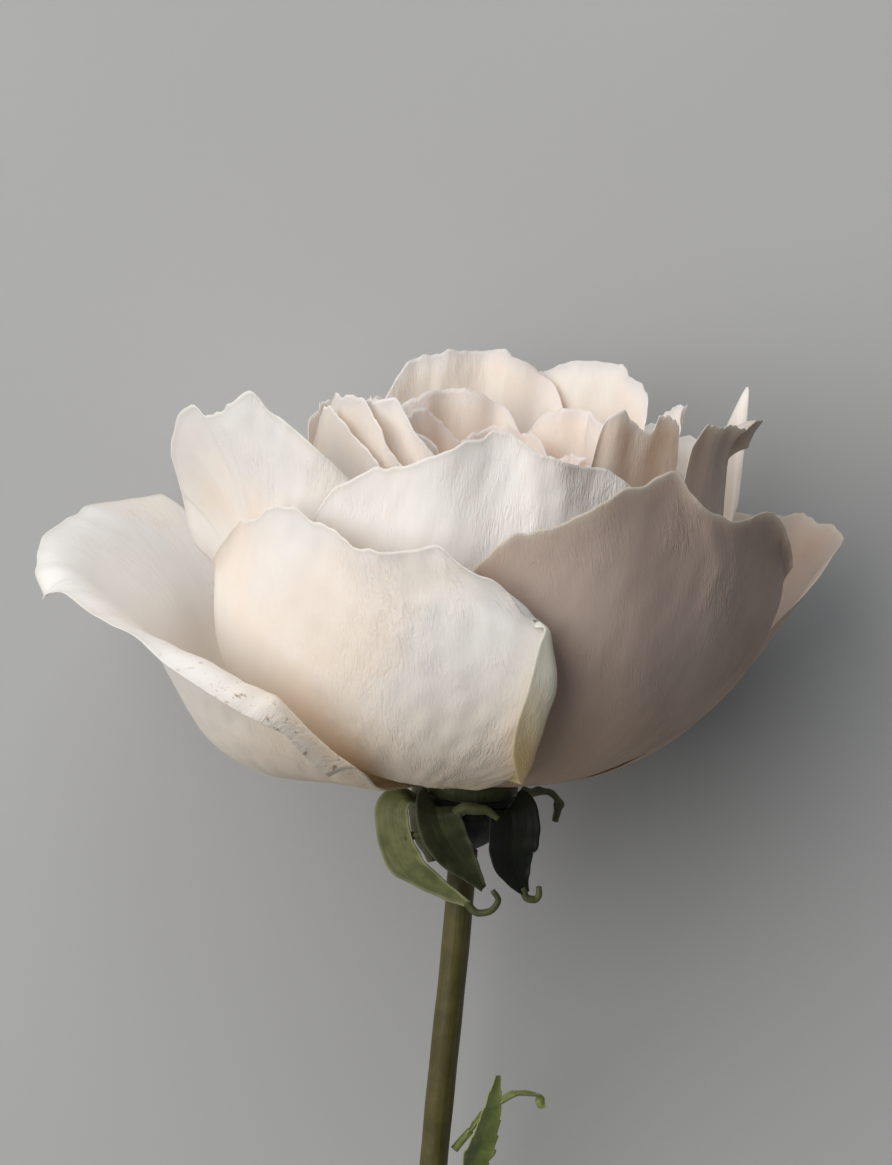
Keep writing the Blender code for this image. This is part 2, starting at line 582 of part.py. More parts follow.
def keep_largest(mesh):
    """Leave the largest joined surface, so a sealed hollow is filled and a loose scrap is dropped."""
    bm = bmesh.new()
    bm.from_mesh(mesh)
    seen, bodies = set(), []
    for start in bm.faces:
        if start in seen:
            continue
        body, wave = [], [start]
        seen.add(start)
        while wave:
            face = wave.pop()
            body.append(face)
            for edge in face.edges:
                for other in edge.link_faces:
                    if other not in seen:
                        seen.add(other)
                        wave.append(other)
        bodies.append(body)
    bodies.sort(key=len)
    spare = [face for body in bodies[:-1] for face in body]
    if spare:
        bmesh.ops.delete(bm, geom=spare, context="FACES")
        bm.to_mesh(mesh)
    bm.free()


# Lying down

def lowest(points, tilt):
    """How far the points reach below the stem's axis when the bloom end is raised by tilt."""
    return float(np.max(points[:, 1] * math.cos(tilt) - points[:, 2] * math.sin(tilt)))


def press(grid, tilt, height, clear):
    """Flatten the part of a grid that would be under the floor."""
    gap = height + grid[..., 2] * math.sin(tilt) - grid[..., 1] * math.cos(tilt) - clear
    down = np.array([0.0, math.cos(tilt), -math.sin(tilt)])
    return grid + np.minimum(gap, 0)[..., None] * down


def whorls():
    """Specs of all petals outside the heart, each with its counts across and along."""
    out = [(dict(root=5.4, **spec), 13, 9) for spec in OUTER.values()]
    out += [(dict(root=4.6, rise=1.8, **spec), 10, 8) for spec in MIDDLE.values()]
    out += [(dict(root=3.7, rise=3.6, **spec), 8, 7) for spec in INNER.values()]
    for turn, length, half in INNER_TURNS:
        spec = evenly_cut(turn, length, half, root=3.7, rise=3.6, slope=DEEP, skew=(-0.45, 0.1),
                          ragged=(0.3, 40 + abs(turn)), wave=(0.4, 1.7, 0.3))
        out.append((spec, 8, 7))
    return out


shells = [sheet_shell(petal_sheet(spec, across, rows), PETAL_THICK) for spec, across, rows in whorls()]
stem_end = np.array([[STEM_END_RADIUS * math.sin(a), STEM_END_RADIUS * math.cos(a), -STEM_LENGTH]
                     for a in np.linspace(0, 2 * math.pi, 25)])
low_angle, high_angle = 0.0, math.radians(30)
bloom = np.concatenate([v for v, f in shells])
for _ in range(40):
    tilt = 0.5 * (low_angle + high_angle)
    if lowest(bloom, tilt) - PRESSED > lowest(stem_end, tilt):
        low_angle = tilt
    else:
        high_angle = tilt
height = lowest(stem_end, tilt)

root = bpy.data.objects.new("rose", None)
bpy.context.scene.collection.objects.link(root)
nodes = []
petal_parts = [turned(CORE, 20)]
for verts, faces in shells:
    half = len(verts) // 2
    outer = press(verts[:half], tilt, height, 0.0)
    inner = press(verts[half:], tilt, height, 0.95 * PETAL_THICK)
    petal_parts.append((np.concatenate([outer, inner]), faces))
nodes.append(fused("petals", petal_parts, "petal_white"))

heart_parts = [turned_ring(HEART_RING, 16)]
heart_parts += [sheet_shell(petal_sheet(spec, 6, 5), HEART_THICK) for spec in HEART]
nodes.append(fused("heart_petals", heart_parts, "petal_heart"))
nodes.append(fused("stamens", stamen_parts(), "stamen_yellow"))

calyx_parts = [turned(HIP, 20)]
sepals = [blade(rows=8, cols=4, cup=0.35, root_face=UPWARD, **one) for one in SEPALS]
calyx_parts += [sheet_shell(grid, SEPAL_THICK) for grid in sepals]
calyx_parts += [tube(along(points, 6), radii, 6) for points, radii in LOBES]
nodes.append(fused("calyx", calyx_parts, "sepal_green"))

stem_path = along(STEM_LINE, 13)
nodes.append(mesh_object("stem", *tube(stem_path[::-1], (STEM_END_RADIUS, STEM_TOP_RADIUS), 20),
                         "stem_green", True))

for name, leaf in LEAVES.items():
    spec = {key: leaf[key] for key in ("points", "widths", "face")}
    grid = blade(rows=10, cols=4, teeth=0.16, teeth_count=8, cup=0.3, **spec)
    nodes.append(fused(name, [tube(along(leaf["stalk"], 6), (0.55, 0.5), 6), sheet_shell(grid, LEAF_THICK)],
                       "leaf_green"))

for ob in nodes:
    ob.parent = root
root.rotation_euler = (tilt - math.pi / 2, 0.0, 0.0)
bpy.context.view_layer.update()
corners = np.array([(ob.matrix_world @ v.co)[:] for ob in nodes for v in ob.data.vertices])
low, high = corners.min(axis=0), corners.max(axis=0)
root.location = (-0.5 * (low[0] + high[0]), -0.5 * (low[1] + high[1]), -low[2])
bpy.context.view_layer.update()
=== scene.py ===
"""Garden rose on a cut stem: fine petals, calyx, stem and leaves in place of the plain solids.

Sizes are in millimetres in the flower's own frame: the origin is where the petals meet the hip,
+Z runs up the bloom's axis, -Y faces the side that is seen, +X is to the right of it.
world() turns them to metres in the frame that the flower lies in.
"""

import math

import bpy
import numpy as np
from mathutils import Matrix

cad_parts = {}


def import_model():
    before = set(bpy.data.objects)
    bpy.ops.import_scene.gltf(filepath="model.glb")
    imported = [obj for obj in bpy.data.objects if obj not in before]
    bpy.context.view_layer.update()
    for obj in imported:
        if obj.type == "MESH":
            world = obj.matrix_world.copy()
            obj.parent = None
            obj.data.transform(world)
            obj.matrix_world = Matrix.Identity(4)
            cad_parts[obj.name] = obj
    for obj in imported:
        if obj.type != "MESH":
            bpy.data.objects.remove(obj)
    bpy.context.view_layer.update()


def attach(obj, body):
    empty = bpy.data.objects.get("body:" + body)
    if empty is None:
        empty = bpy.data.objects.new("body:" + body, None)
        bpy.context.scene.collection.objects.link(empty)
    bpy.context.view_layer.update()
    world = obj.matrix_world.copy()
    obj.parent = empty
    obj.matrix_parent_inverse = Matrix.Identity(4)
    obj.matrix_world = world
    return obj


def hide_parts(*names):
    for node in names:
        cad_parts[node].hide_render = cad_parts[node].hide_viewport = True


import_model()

MM = 0.001
PLACE = (5.6054, 58.1941, 34.2264)  # where the flower's origin lies in the frame, in millimetres
TILT = math.radians(10.655837)  # how steeply the bloom's axis rises from the floor
STEM_LENGTH = 175.0
SEAT_GAP = 0.35  # the stem stays this far from the hip


def world(p):
    """Metres in the lying frame: y turns by the tilt from the bloom's axis, and PLACE is added."""
    p = np.asarray(p, float)
    x, y, z = p[..., 0], p[..., 1], p[..., 2]
    return MM * np.stack([PLACE[0] + x,
                          PLACE[1] + y * math.sin(TILT) + z * math.cos(TILT),
                          PLACE[2] - y * math.cos(TILT) + z * math.sin(TILT)], axis=-1)


# Curves

def smooth(x):
    """A step with soft ends: 3 x^2 - 2 x^3, with x kept between 0 and 1."""
    x = np.clip(x, 0.0, 1.0)
    return x * x * (3.0 - 2.0 * x)


def curve(t, keys):
    """Smooth curve through (place, value) keys that never overshoots them."""
    x = np.array([k[0] for k in keys], float)
    y = np.array([k[1] for k in keys], float)
    if len(x) < 3:
        return np.interp(t, x, y)
    h = np.diff(x)
    d = np.diff(y) / h
    m = np.zeros(len(x))
    total = np.where(d[:-1] + d[1:] == 0, 1.0, d[:-1] + d[1:])
    m[1:-1] = np.where(d[:-1] * d[1:] > 0, 2 * d[:-1] * d[1:] / total, 0.0)
    m[0], m[-1] = d[0], d[-1]
    t = np.clip(t, x[0], x[-1])
    i = np.clip(np.searchsorted(x, t, side="right") - 1, 0, len(h) - 1)
    q = (t - x[i]) / h[i]
    return ((1 + 2 * q) * (1 - q) ** 2 * y[i] + q * (1 - q) ** 2 * h[i] * m[i]
            + q * q * (3 - 2 * q) * y[i + 1] - q * q * (1 - q) * h[i] * m[i + 1])


def along(points, count):
    """Evenly spaced places on a smooth line through a few points."""
    p = np.array(points, float)
    far = np.concatenate([[0], np.cumsum(np.linalg.norm(np.diff(p, axis=0), axis=1))])
    t = np.linspace(0, far[-1], count)
    return np.stack([curve(t, list(zip(far, p[:, k]))) for k in range(3)], axis=1)


def unit(v):
    """Every vector divided by its length."""
    return v / np.maximum(np.linalg.norm(v, axis=-1, keepdims=True), 1e-9)


# Petal surface

# A petal where its own spec says nothing. turn, left and right are degrees round the bloom's axis, slope is
# (mm from the claw, degrees up from flat), and top is (u, mm of length). skew and lift bend the sides in r
# and z. roll is (u, degrees outward) over the last zone mm. wave is (mm, turns, phase), ragged (mm, seed),
# crease (mm, width, u). nicks, pucker and crepe are the heights, in mm, of the finest forms.
PLAIN = dict(turn=0.0, root=5.4, rise=0.0, slope=((0, 10), (60, 90)), skew=(0.0, 0.0), lift=(0.0, 0.0), lift_at=30.0,
             left=((0, -22), (1, -50)), right=((0, 22), (1, 50)), top=((-1, 40), (0, 50), (1, 40)),
             roll=((-1, 10), (1, 10)), zone=6.0, wave=(0.35, 1.6, 0.0), ragged=(0.35, 1),
             crease=(0.0, 0.12, 0.0), flap=None, nicks=0.42, pucker=0.22, crepe=0.024)
PROFILE_MM, PROFILE_STEPS = 80.0, 400  # the bowl's profile is added up over this length in so many steps
ANY_PHASE = 6.28  # a whole turn in radians, near enough for a phase drawn at random
SIDE_DEGREES = 60.0  # a petal's side is bent in full this far from its middle
FULL_WIDTH = 45.0  # a petal narrower than this, in mm, has lower puckers


def side_square(pair, rel):
    """pair[0] x^2 on the left side and pair[1] x^2 on the right, with x = angle from the middle / SIDE_DEGREES."""
    x = rel / SIDE_DEGREES
    return pair[0] * np.clip(-x, 0, None) ** 2 + pair[1] * np.clip(x, 0, None) ** 2


def petal_sheet(spec, across, rows):
    """Middle surface of a petal, a trimmed piece of a bowl: rows from claw to rim.

    u runs from the left edge (-1) to the right edge (1), v from the claw (0) to the rim (1).
    s = v top(u);  angle = left(v) + (right(v) - left(v)) (u + 1) / 2;
    r = integral of cos(slope(s) - bend), z = integral of sin(slope(s) - bend), where bend rolls the
    last millimetres outward; sides, wave and crease are added to r and z; the point is
    (r sin(turn + angle), -r cos(turn + angle), z). Puckers then move it along its normal: a sum of
    eight sines of u and s, stronger towards the rim, and of seven short ones whose phase bends.
    A narrow petal has less of both.
    """
    p = {**PLAIN, **spec}
    u = 0.65 * np.linspace(-1, 1, across + 1) + 0.35 * np.sin(np.linspace(-1, 1, across + 1) * math.pi / 2)
    v = np.linspace(0, 1, rows + 1)
    v = 0.6 * v + 0.4 * np.sin(v * math.pi / 2)
    U, V = np.meshgrid(u, v)
    top = curve(u, p["top"])
    size, seed = p["ragged"]
    rng = np.random.default_rng(seed)
    for count, share in ((5, 0.5), (9, 0.4), (15, 0.2), (23, 0.1)):
        top = top + size * share * np.sin(count * u * math.pi / 2 + rng.uniform(0, 2 * math.pi))
    rough = smooth(0.5 + 0.9 * np.sin(2.3 * u + seed) * np.sin(5.1 * u + 2 * seed))
    nick = sum(np.sin(c * u + rng.uniform(0, ANY_PHASE)) / (1 + 0.02 * c) for c in (19.0, 27.3, 38.1, 52.7, 71.9))
    top = top + p["nicks"] * (0.15 + rough) * nick / 3
    S = V * top[None, :]
    lo, hi = curve(V, p["left"]), curve(V, p["right"])
    rel = lo + (hi - lo) * (U + 1) / 2
    s = np.linspace(0, PROFILE_MM, PROFILE_STEPS)
    a = np.radians(curve(s, p["slope"]))
    R = p["root"] + np.concatenate([[0], np.cumsum(0.5 * (np.cos(a[1:]) + np.cos(a[:-1])) * s[1])])
    Z = p["rise"] + np.concatenate([[0], np.cumsum(0.5 * (np.sin(a[1:]) + np.sin(a[:-1])) * s[1])])
    slope = np.radians(curve(S, p["slope"]))
    bend = np.radians(curve(U, p["roll"])) * smooth(1 - (top[None, :] - S) / p["zone"])
    step = np.diff(S, axis=0)
    cos_run, sin_run = np.cos(slope - bend) - np.cos(slope), np.sin(slope - bend) - np.sin(slope)
    none = np.zeros((1, len(u)))
    r = (np.interp(S, s, R) * (1 + side_square(p["skew"], rel) * smooth(S / 18.0))
         + np.vstack([none, np.cumsum(0.5 * (cos_run[1:] + cos_run[:-1]) * step, axis=0)]))
    z = (np.interp(S, s, Z) + side_square(p["lift"], rel) * np.clip(S / p["lift_at"], 0, 1) ** 2
         + np.vstack([none, np.cumsum(0.5 * (sin_run[1:] + sin_run[:-1]) * step, axis=0)]))
    T = S / np.max(top)
    size, turns, phase = p["wave"]
    r = r + size * np.sin(2 * math.pi * (turns * U + phase)) * T ** 3
    z = z + 0.4 * size * np.sin(2 * math.pi * (turns * 0.8 * U + phase + 0.3)) * T ** 3
    depth, width, place = p["crease"]
    r = r + depth * np.exp(-((U - place) / width) ** 2) * smooth((T - 0.5) / 0.5)
    az = np.radians(p["turn"] + rel)
    P = np.stack([r * np.sin(az), -r * np.cos(az), z], axis=-1)
    fold = np.zeros_like(U)
    if p["flap"]:
        P, fold = roll_flap(P, u, v, p["flap"])
    rng = np.random.default_rng(seed + 500)
    bump = np.zeros_like(U)
    for k in range(8):
        across_waves, along_waves = rng.uniform(0.8, 3.8), rng.uniform(-1.4, 1.4)
        phase = rng.uniform(0, ANY_PHASE)
        bump += np.sin(2 * math.pi * (across_waves * U / 2 + along_waves * T) + phase) / (1 + 0.25 * k)
    crepe = np.zeros_like(U)
    for k in range(7):
        across_waves, along_waves = rng.uniform(5, 15), rng.uniform(-13, 13)
        bend_across, bend_along, phase = rng.uniform(0.6, 2), rng.uniform(0.6, 2.5), rng.uniform(0, ANY_PHASE)
        bent = 1.6 * np.sin(2 * math.pi * (bend_across * U + bend_along * T) + phase)
        crepe += np.sin(2 * math.pi * (across_waves * U / 2 + along_waves * T) + bent)
    out = p["pucker"] * bump * (0.25 + 0.75 * T ** 2) + p["crepe"] * crepe * (0.4 + 0.6 * smooth(U + 0.5))
    wide = np.linalg.norm(np.diff(P, axis=1), axis=2).sum(axis=1).max()
    P = P + (out * min(1.0, wide / FULL_WIDTH) ** 1.5 * smooth(S / 12.0))[..., None] * normals(P)
    cells = np.linalg.norm(np.diff(P, axis=1), axis=2)
    from_left = np.cumsum(np.pad(cells, ((0, 0), (1, 0))), axis=1)
    from_right = np.cumsum(np.pad(cells, ((0, 0), (0, 1)))[:, ::-1], axis=1)[:, ::-1]
    fields = dict(claw_mm=S, rim_mm=np.minimum(top[None, :] - S, np.minimum(from_left, from_right)), fold=fold,
                  uv=np.stack([U * cells.sum(axis=1).max() / 2, S], axis=-1))
    return P, fields


def roll_flap(P, u, v, flap):
    """Turn the right margin outward past its fold line, u = 1 - share sin(pi v')^0.8.

    v' runs from 0 to 1 between start and end. Past the line each row follows an arc of that radius
    through that angle, then goes straight. Also gives 1 for the points that were turned, or else 0.
    """
    start, end, share, radius, angle = flap
    before = 0.12  # the row's own direction is taken over this much of u before the line
    part = share * np.sin(math.pi * np.clip((v - start) / (end - start), 0, 1)) ** 0.8
    fold = 1 - part
    rows = np.arange(len(v))

    def at(x, grid):
        """The grid's point at u = x in every row, on the line between its two nearest columns."""
        i = np.clip(np.searchsorted(u, x, side="right") - 1, 0, len(u) - 2)
        w = ((x - u[i]) / (u[i + 1] - u[i]))[:, None]
        return grid[rows, i] * (1 - w) + grid[rows, i + 1] * w

    p0 = at(fold, P)
    run = p0 - at(fold - before, P)
    pace = np.linalg.norm(run, axis=1) / before
    run = unit(run)
    up = at(fold, P[np.minimum(rows + 1, len(v) - 1)] - P[np.maximum(rows - 1, 0)])
    out_way = unit(np.cross(run, up))
    inward = (out_way * p0 * (1, 1, 0)).sum(axis=1) < 0
    out_way = np.where(inward[:, None], -out_way, out_way)
    th = np.clip(u[None, :] - fold[:, None], 0, None) * pace[:, None] / radius
    arc = np.minimum(th, angle)
    rest = th - arc
    go = np.sin(arc) + rest * math.cos(angle)
    lift = 1 - np.cos(arc) + rest * math.sin(angle)
    turned_part = p0[:, None] + radius * (go[..., None] * run[:, None] + lift[..., None] * out_way[:, None])
    use = (u[None, :] > fold[:, None]) & (part[:, None] > 1e-3)
    return np.where(use[..., None], turned_part, P), use.astype(float)


def normals(P):
    """Unit normal of every grid point; for a petal it points away from the bloom's axis."""
    return unit(np.cross(np.gradient(P, axis=1), np.gradient(P, axis=0)))


def grid_faces(rows, cols):
    """Quads of a grid of points: a, a + 1, a + cols + 1 and a + cols for every cell."""
    a = (np.arange(rows - 1)[:, None] * cols + np.arange(cols - 1)[None, :]).ravel()
    return np.stack([a, a + 1, a + cols + 1, a + cols], axis=1)


def shell(P, thick, fields):
    """Closed sheet round a grid: P + thick N / 2 outside, P - thick N / 2 inside, and the edge closed.

    Gives the points, the outer ones first, the faces, which of them are flat, and the fields of both sides.
    """
    N = normals(P)
    half = 0.5 * np.broadcast_to(thick, P.shape[:2])[..., None] * N
    rows, cols = P.shape[:2]
    count = rows * cols
    verts = np.concatenate([(P + half).reshape(-1, 3), (P - half).reshape(-1, 3)])
    one = grid_faces(rows, cols)
    index = np.arange(count).reshape(rows, cols)
    ring = np.concatenate([index[0], index[1:, -1], index[-1, -2::-1], index[-2:0:-1, 0]])
    after = np.roll(ring, -1)
    rim = np.stack([after, ring, ring + count, after + count], axis=1)
    faces = np.concatenate([one, one[:, ::-1] + count, rim])
    flat = np.zeros(len(faces), bool)
    flat[-len(rim):] = True
    return verts, faces, flat, {k: np.concatenate([g.reshape(count, -1)] * 2) for k, g in fields.items()}


def thinned(rim_mm, edge, more, run):
    """Thickness of a sheet in mm: edge + more smooth(rim_mm / run), so that it thins towards its rim."""
    return edge + more * smooth(rim_mm / run)


# Petals, from the outside inward

# Slopes that several petals share, from flat at the claw to upright at the rim
LOW = ((0, 12), (8, 13), (14, 18), (22, 36), (30, 62), (40, 82), (50, 92), (70, 96))
CUP = ((0, 12), (8, 18), (14, 34), (22, 58), (30, 76), (40, 90), (50, 98), (70, 102))
DEEP = ((0, 15), (8, 30), (14, 50), (22, 68), (30, 82), (40, 88), (70, 88))
OUTER = {
    "front_left": dict(
        turn=-27, rise=0.5, slope=LOW, skew=(0.0, 0.16), lift=(0.0, 4.0), lift_at=15.0,
        left=((0, -22), (0.35, -40), (0.66, -50), (0.91, -44), (1, -40)),
        right=((0, 22), (0.2, 33), (0.38, 42), (0.55, 47), (0.7, 49), (0.86, 43), (1, 33)),
        top=((-1, 46), (-0.8, 50.5), (-0.57, 53), (-0.39, 55), (-0.12, 53.5), (0.12, 52), (0.55, 52.5),
             (0.68, 51), (0.87, 49.5), (1, 46)),
        roll=((-1, 25), (0, 15), (1, 30)), flap=(0.3, 0.98, 0.2, 1.0, 2.7)),
    "front_right": dict(
        turn=42, rise=0.8, skew=(-0.26, 0.0),
        slope=((0, 14), (8, 17), (14, 26), (22, 38), (30, 51), (38, 66), (46, 84), (70, 92)),
        left=((0, -22), (0.38, -32), (0.71, -44), (1, -48)),
        right=((0, 22), (0.39, 35), (0.63, 38), (0.87, 38.5), (1, 31)),
        top=((-1, 47), (-0.8, 53), (-0.5, 57), (-0.3, 60), (-0.14, 61.5), (-0.04, 62.5),
             (0.06, 60), (0.3, 57.5), (0.61, 57), (1, 50)),
        roll=((-1, 10), (0, 15), (1, 30))),
    "far_left": dict(
        turn=-85, rise=-0.2, lift=(13, 16.5), skew=(0.0, 0.26),
        slope=((0, 5), (8, 3), (15, 1), (20, 8), (26, 32), (32, 54), (38, 58), (44, 48), (52, 32), (62, 20),
               (75, 18)),
        left=((0, -22), (0.32, -30), (0.6, -38), (1, -40)),
        right=((0, 24), (0.25, 40), (0.5, 54), (0.75, 60), (1, 57)),
        top=((-1, 57), (-0.76, 61.5), (-0.53, 62), (-0.29, 60.5), (-0.1, 59.5), (0.04, 56.5), (0.18, 53),
             (0.41, 47.5), (0.65, 41), (0.85, 33.5), (1, 25)),
        roll=((-1, 15), (-0.5, 15), (-0.3, 40), (-0.12, 75), (0.08, 25), (0.35, 30), (0.6, 75), (1, 90)),
        zone=8.0),
    "far_right": dict(
        turn=105, rise=0.1, skew=(-0.5, -0.12),
        slope=((0, 8), (8, 13), (14, 24), (22, 38), (30, 50), (38, 54), (46, 58), (56, 64), (70, 66)),
        left=((0, -20), (0.35, -24), (0.65, -25), (1, -24)),
        right=((0, 22), (0.36, 34), (0.68, 42), (1, 46)),
        top=((-1, 48), (-0.7, 54), (-0.3, 56), (0.0, 56), (0.6, 54), (1, 44)),
        roll=((-1, 10), (0, 15), (1, 30))),
    "back": dict(
        turn=180, rise=-0.4, skew=(0.5, 0.5),
        slope=((0, 6), (8, 9), (14, 17), (22, 36), (30, 56), (40, 70), (50, 74), (70, 66)),
        left=((0, -22), (0.36, -34), (0.68, -38), (1, -38)),
        right=((0, 22), (0.36, 34), (0.68, 38), (1, 38)),
        top=((-1, 44), (-0.74, 51), (-0.26, 54), (0.26, 54), (0.74, 51), (1, 44)),
        roll=((-1, 10), (0, 15), (1, 10)), ragged=(0.15, 2), wave=(0.2, 1.6, 0.0)),
}
MIDDLE = {
    "front": dict(
        turn=5, slope=CUP, skew=(0.3, 0.0),
        left=((0, -22), (0.35, -38), (0.65, -45), (1, -46)),
        right=((0, 22), (0.36, 36), (0.68, 42), (1, 44)),
        top=((-1, 46), (-0.9, 51), (-0.53, 55), (-0.19, 58), (-0.11, 59), (0.17, 57), (0.54, 55),
             (0.74, 53), (1, 44)),
        roll=((-1, 10), (1, 10))),
    "left": dict(
        turn=-72, skew=(0.2, -0.4),
        slope=((0, 12), (10, 18), (18, 36), (25, 60), (33, 75), (42, 81), (48, 77), (56, 73), (70, 70)),
        left=((0, -22), (0.29, -32), (0.55, -37), (1, -36)),
        right=((0, 22), (0.3, 28), (0.57, 34), (1, 40)),
        top=((-1, 42), (-0.84, 46), (-0.66, 50.5), (-0.53, 54), (-0.35, 58), (-0.15, 61.5), (-0.04, 59.5),
             (0.1, 60.5), (0.26, 62.5), (0.4, 64.5), (0.5, 61.5), (0.79, 57.5), (1, 52)),
        roll=((-1, 42), (-0.5, 38), (-0.15, 22), (0.2, 5), (1, 5)), zone=20.0),
    "right": dict(
        turn=75,
        slope=((0, 12), (8, 18), (14, 34), (22, 58), (30, 72), (40, 84), (48, 92), (56, 86), (62, 60),
               (70, 50)),
        left=((0, -22), (0.3, -26), (0.56, -28), (1, -22)),
        right=((0, 22), (0.31, 24), (0.58, 20), (1, 14)),
        top=((-1, 58), (-0.6, 61), (-0.2, 60), (0.4, 61), (0.8, 62.5), (1, 58)),
        roll=((-1, 0), (0, 10), (0.6, 50), (1, 60))),
    "back_right": dict(
        turn=140,
        slope=((0, 12), (10, 18), (18, 34), (26, 56), (34, 74), (42, 80), (50, 80), (60, 76), (70, 70)),
        left=((0, -22), (0.38, -32), (0.71, -34), (1, -30)),
        right=((0, 22), (0.38, 32), (0.71, 34), (1, 33)),
        top=((-1, 50), (-0.85, 60), (-0.72, 65), (-0.58, 58), (-0.2, 57), (0.02, 58), (0.56, 55), (1, 42)),
        roll=((-1, 10), (1, 10))),
    "back_left": dict(
        turn=-144, slope=CUP,
        left=((0, -22), (0.38, -32), (0.71, -34), (1, -33)),
        right=((0, 22), (0.38, 32), (0.71, 34), (1, 33)),
        top=((-1, 42), (-0.53, 52), (0.02, 54), (0.56, 54), (1, 42)),
        roll=((-1, 10), (1, 10))),
}
INNER = {
    "left": dict(
        turn=-48, slope=DEEP, skew=(0.2, 0.0),
        left=((0, -22), (0.35, -30), (0.65, -28), (1, -20)),
        right=((0, 20), (0.38, 30), (0.71, 36), (1, 36)),
        top=((-1, 48), (-0.8, 53), (-0.5, 52), (-0.2, 50), (0.26, 46.5), (0.73, 43), (1, 38)),
        ragged=(0.4, 3)),
    "left_second": dict(
        turn=-48, slope=((0, 20), (8, 38), (14, 56), (22, 72), (30, 84), (50, 86)),
        left=((0, -22), (0.35, -34), (0.65, -34), (1, -26)),
        right=((0, 20), (0.38, 30), (0.71, 36), (1, 38)),
        top=((-1, 46), (-0.8, 52), (-0.3, 53), (0.0, 51), (0.3, 46.5), (0.73, 42), (1, 38)),
        ragged=(0.4, 13)),
    "left_third": dict(
        turn=-38, slope=((0, 24), (8, 42), (14, 60), (22, 76), (30, 85), (50, 87)),
        left=((0, -22), (0.35, -36), (0.65, -36), (1, -28)),
        right=((0, 20), (0.38, 30), (0.71, 36), (1, 38)),
        top=((-1, 46), (-0.7, 51), (-0.2, 52), (0.1, 49), (0.4, 45), (0.73, 41), (1, 38)), ragged=(0.5, 23)),
    "right": dict(
        turn=46, slope=DEEP, skew=(-0.2, 0.3),
        left=((0, -18), (0.36, -24), (0.68, -24), (1, -18)),
        right=((0, 22), (0.35, 28), (0.65, 28), (1, 22)),
        top=((-1, 47), (-0.7, 55), (-0.5, 56), (0.1, 53.5), (0.5, 55.5), (0.8, 54), (1, 50)),
        ragged=(0.4, 4)),
}


def evenly_cut(turn, length, half, **more):
    """A petal with the same outline on both sides: half is its half width in degrees."""
    sides = ((0, 20), (0.4, 0.75 * half), (0.75, 0.97 * half), (1, half))
    return dict(turn=turn, left=tuple((v, -a) for v, a in sides), right=sides,
                top=((-1, 0.78 * length), (-0.85, 0.88 * length), (-0.6, 0.95 * length), (0, length),
                     (0.6, 0.96 * length), (0.85, 0.88 * length), (1, 0.78 * length)), **more)


def inner_ring(turns, lengths, half, seed, **more):
    """Petals of one inner turn, each with its own rim, wave and crease."""
    rng = np.random.default_rng(seed)
    out = []
    for k, (turn, length) in enumerate(zip(turns, lengths)):
        out.append(evenly_cut(turn, length, half * rng.uniform(0.92, 1.05),
                              ragged=(0.4, 20 * seed + k), wave=(0.5, 1.7, rng.uniform(0, 1)),
                              crease=(rng.uniform(-0.8, 0.8), 0.15, rng.uniform(-0.2, 0.2)), **more))
    return out


# The inner petals that hardly show: degrees round the axis, length in mm and half width in degrees
INNER_TURNS = ((2, 42, 33), (98, 55, 27), (144, 58, 38), (186, 58, 38), (-112, 51, 30))
HEART = (
    inner_ring((-85, -30, 22, 75, 135, -160), (46, 38, 37, 43, 45, 46), 42, 6, root=3.6, rise=6.4,
               slope=((0, 30), (8, 52), (14, 68), (22, 80), (30, 88), (50, 94)), skew=(-0.4, 0.1))
    + inner_ring((-65, 0, 50, 110, 170, -120), (40, 31, 33, 37, 39, 41), 44, 7, root=3.5, rise=7.2,
                 slope=((0, 45), (8, 66), (14, 78), (22, 86), (30, 90), (50, 92)), skew=(-0.45, 0.12))
    + inner_ring((20, 92, 164, -124, -52), (29, 31, 32, 33, 31), 52, 8, root=3.6, rise=8.4,
                 slope=((0, 60), (8, 80), (14, 86), (22, 90), (50, 92)), skew=(-0.5, 0.12)))


def whorls():
    """(name, spec, columns, rows, pink) of every petal; a pink one has the heart's colour."""
    out = [("outer_petal_" + k, dict(root=5.4, **spec), 120, 90, False) for k, spec in OUTER.items()]
    out += [("middle_petal_" + k, dict(root=4.6, rise=1.8, **spec), 100, 80, False) for k, spec in MIDDLE.items()]
    out += [("inner_petal_" + k, dict(root=3.7, rise=3.6, **spec), 80, 64, True) for k, spec in INNER.items()]
    for k, (turn, length, half) in enumerate(INNER_TURNS):
        spec = evenly_cut(turn, length, half, root=3.7, rise=3.6, slope=DEEP, skew=(-0.45, 0.1),
                          ragged=(0.3, 40 + abs(turn)), wave=(0.4, 1.7, 0.3))
        out.append(("inner_petal_%d" % (k + 1), spec, 80, 60, True))
    out += [("heart_petal_%02d" % (k + 1), spec, 48, 40, True) for k, spec in enumerate(HEART)]
    return out


# Round and other solid parts

def ring_faces(rings, sides):
    """Faces of rings of points, one after another, and of one middle point at each end, which come last."""
    k = np.arange(sides)
    m = (k + 1) % sides
    low = (np.arange(rings - 1) * sides)[:, None]
    quads = np.stack([low + k, low + m, low + m + sides, low + k + sides], axis=-1).reshape(-1, 4)
    n, last = rings * sides, (rings - 1) * sides
    tris = np.concatenate([np.stack([np.full(sides, n), m, k], axis=1),
                           np.stack([last + k, last + m, np.full(sides, n + 1)], axis=1)])
    return quads, tris


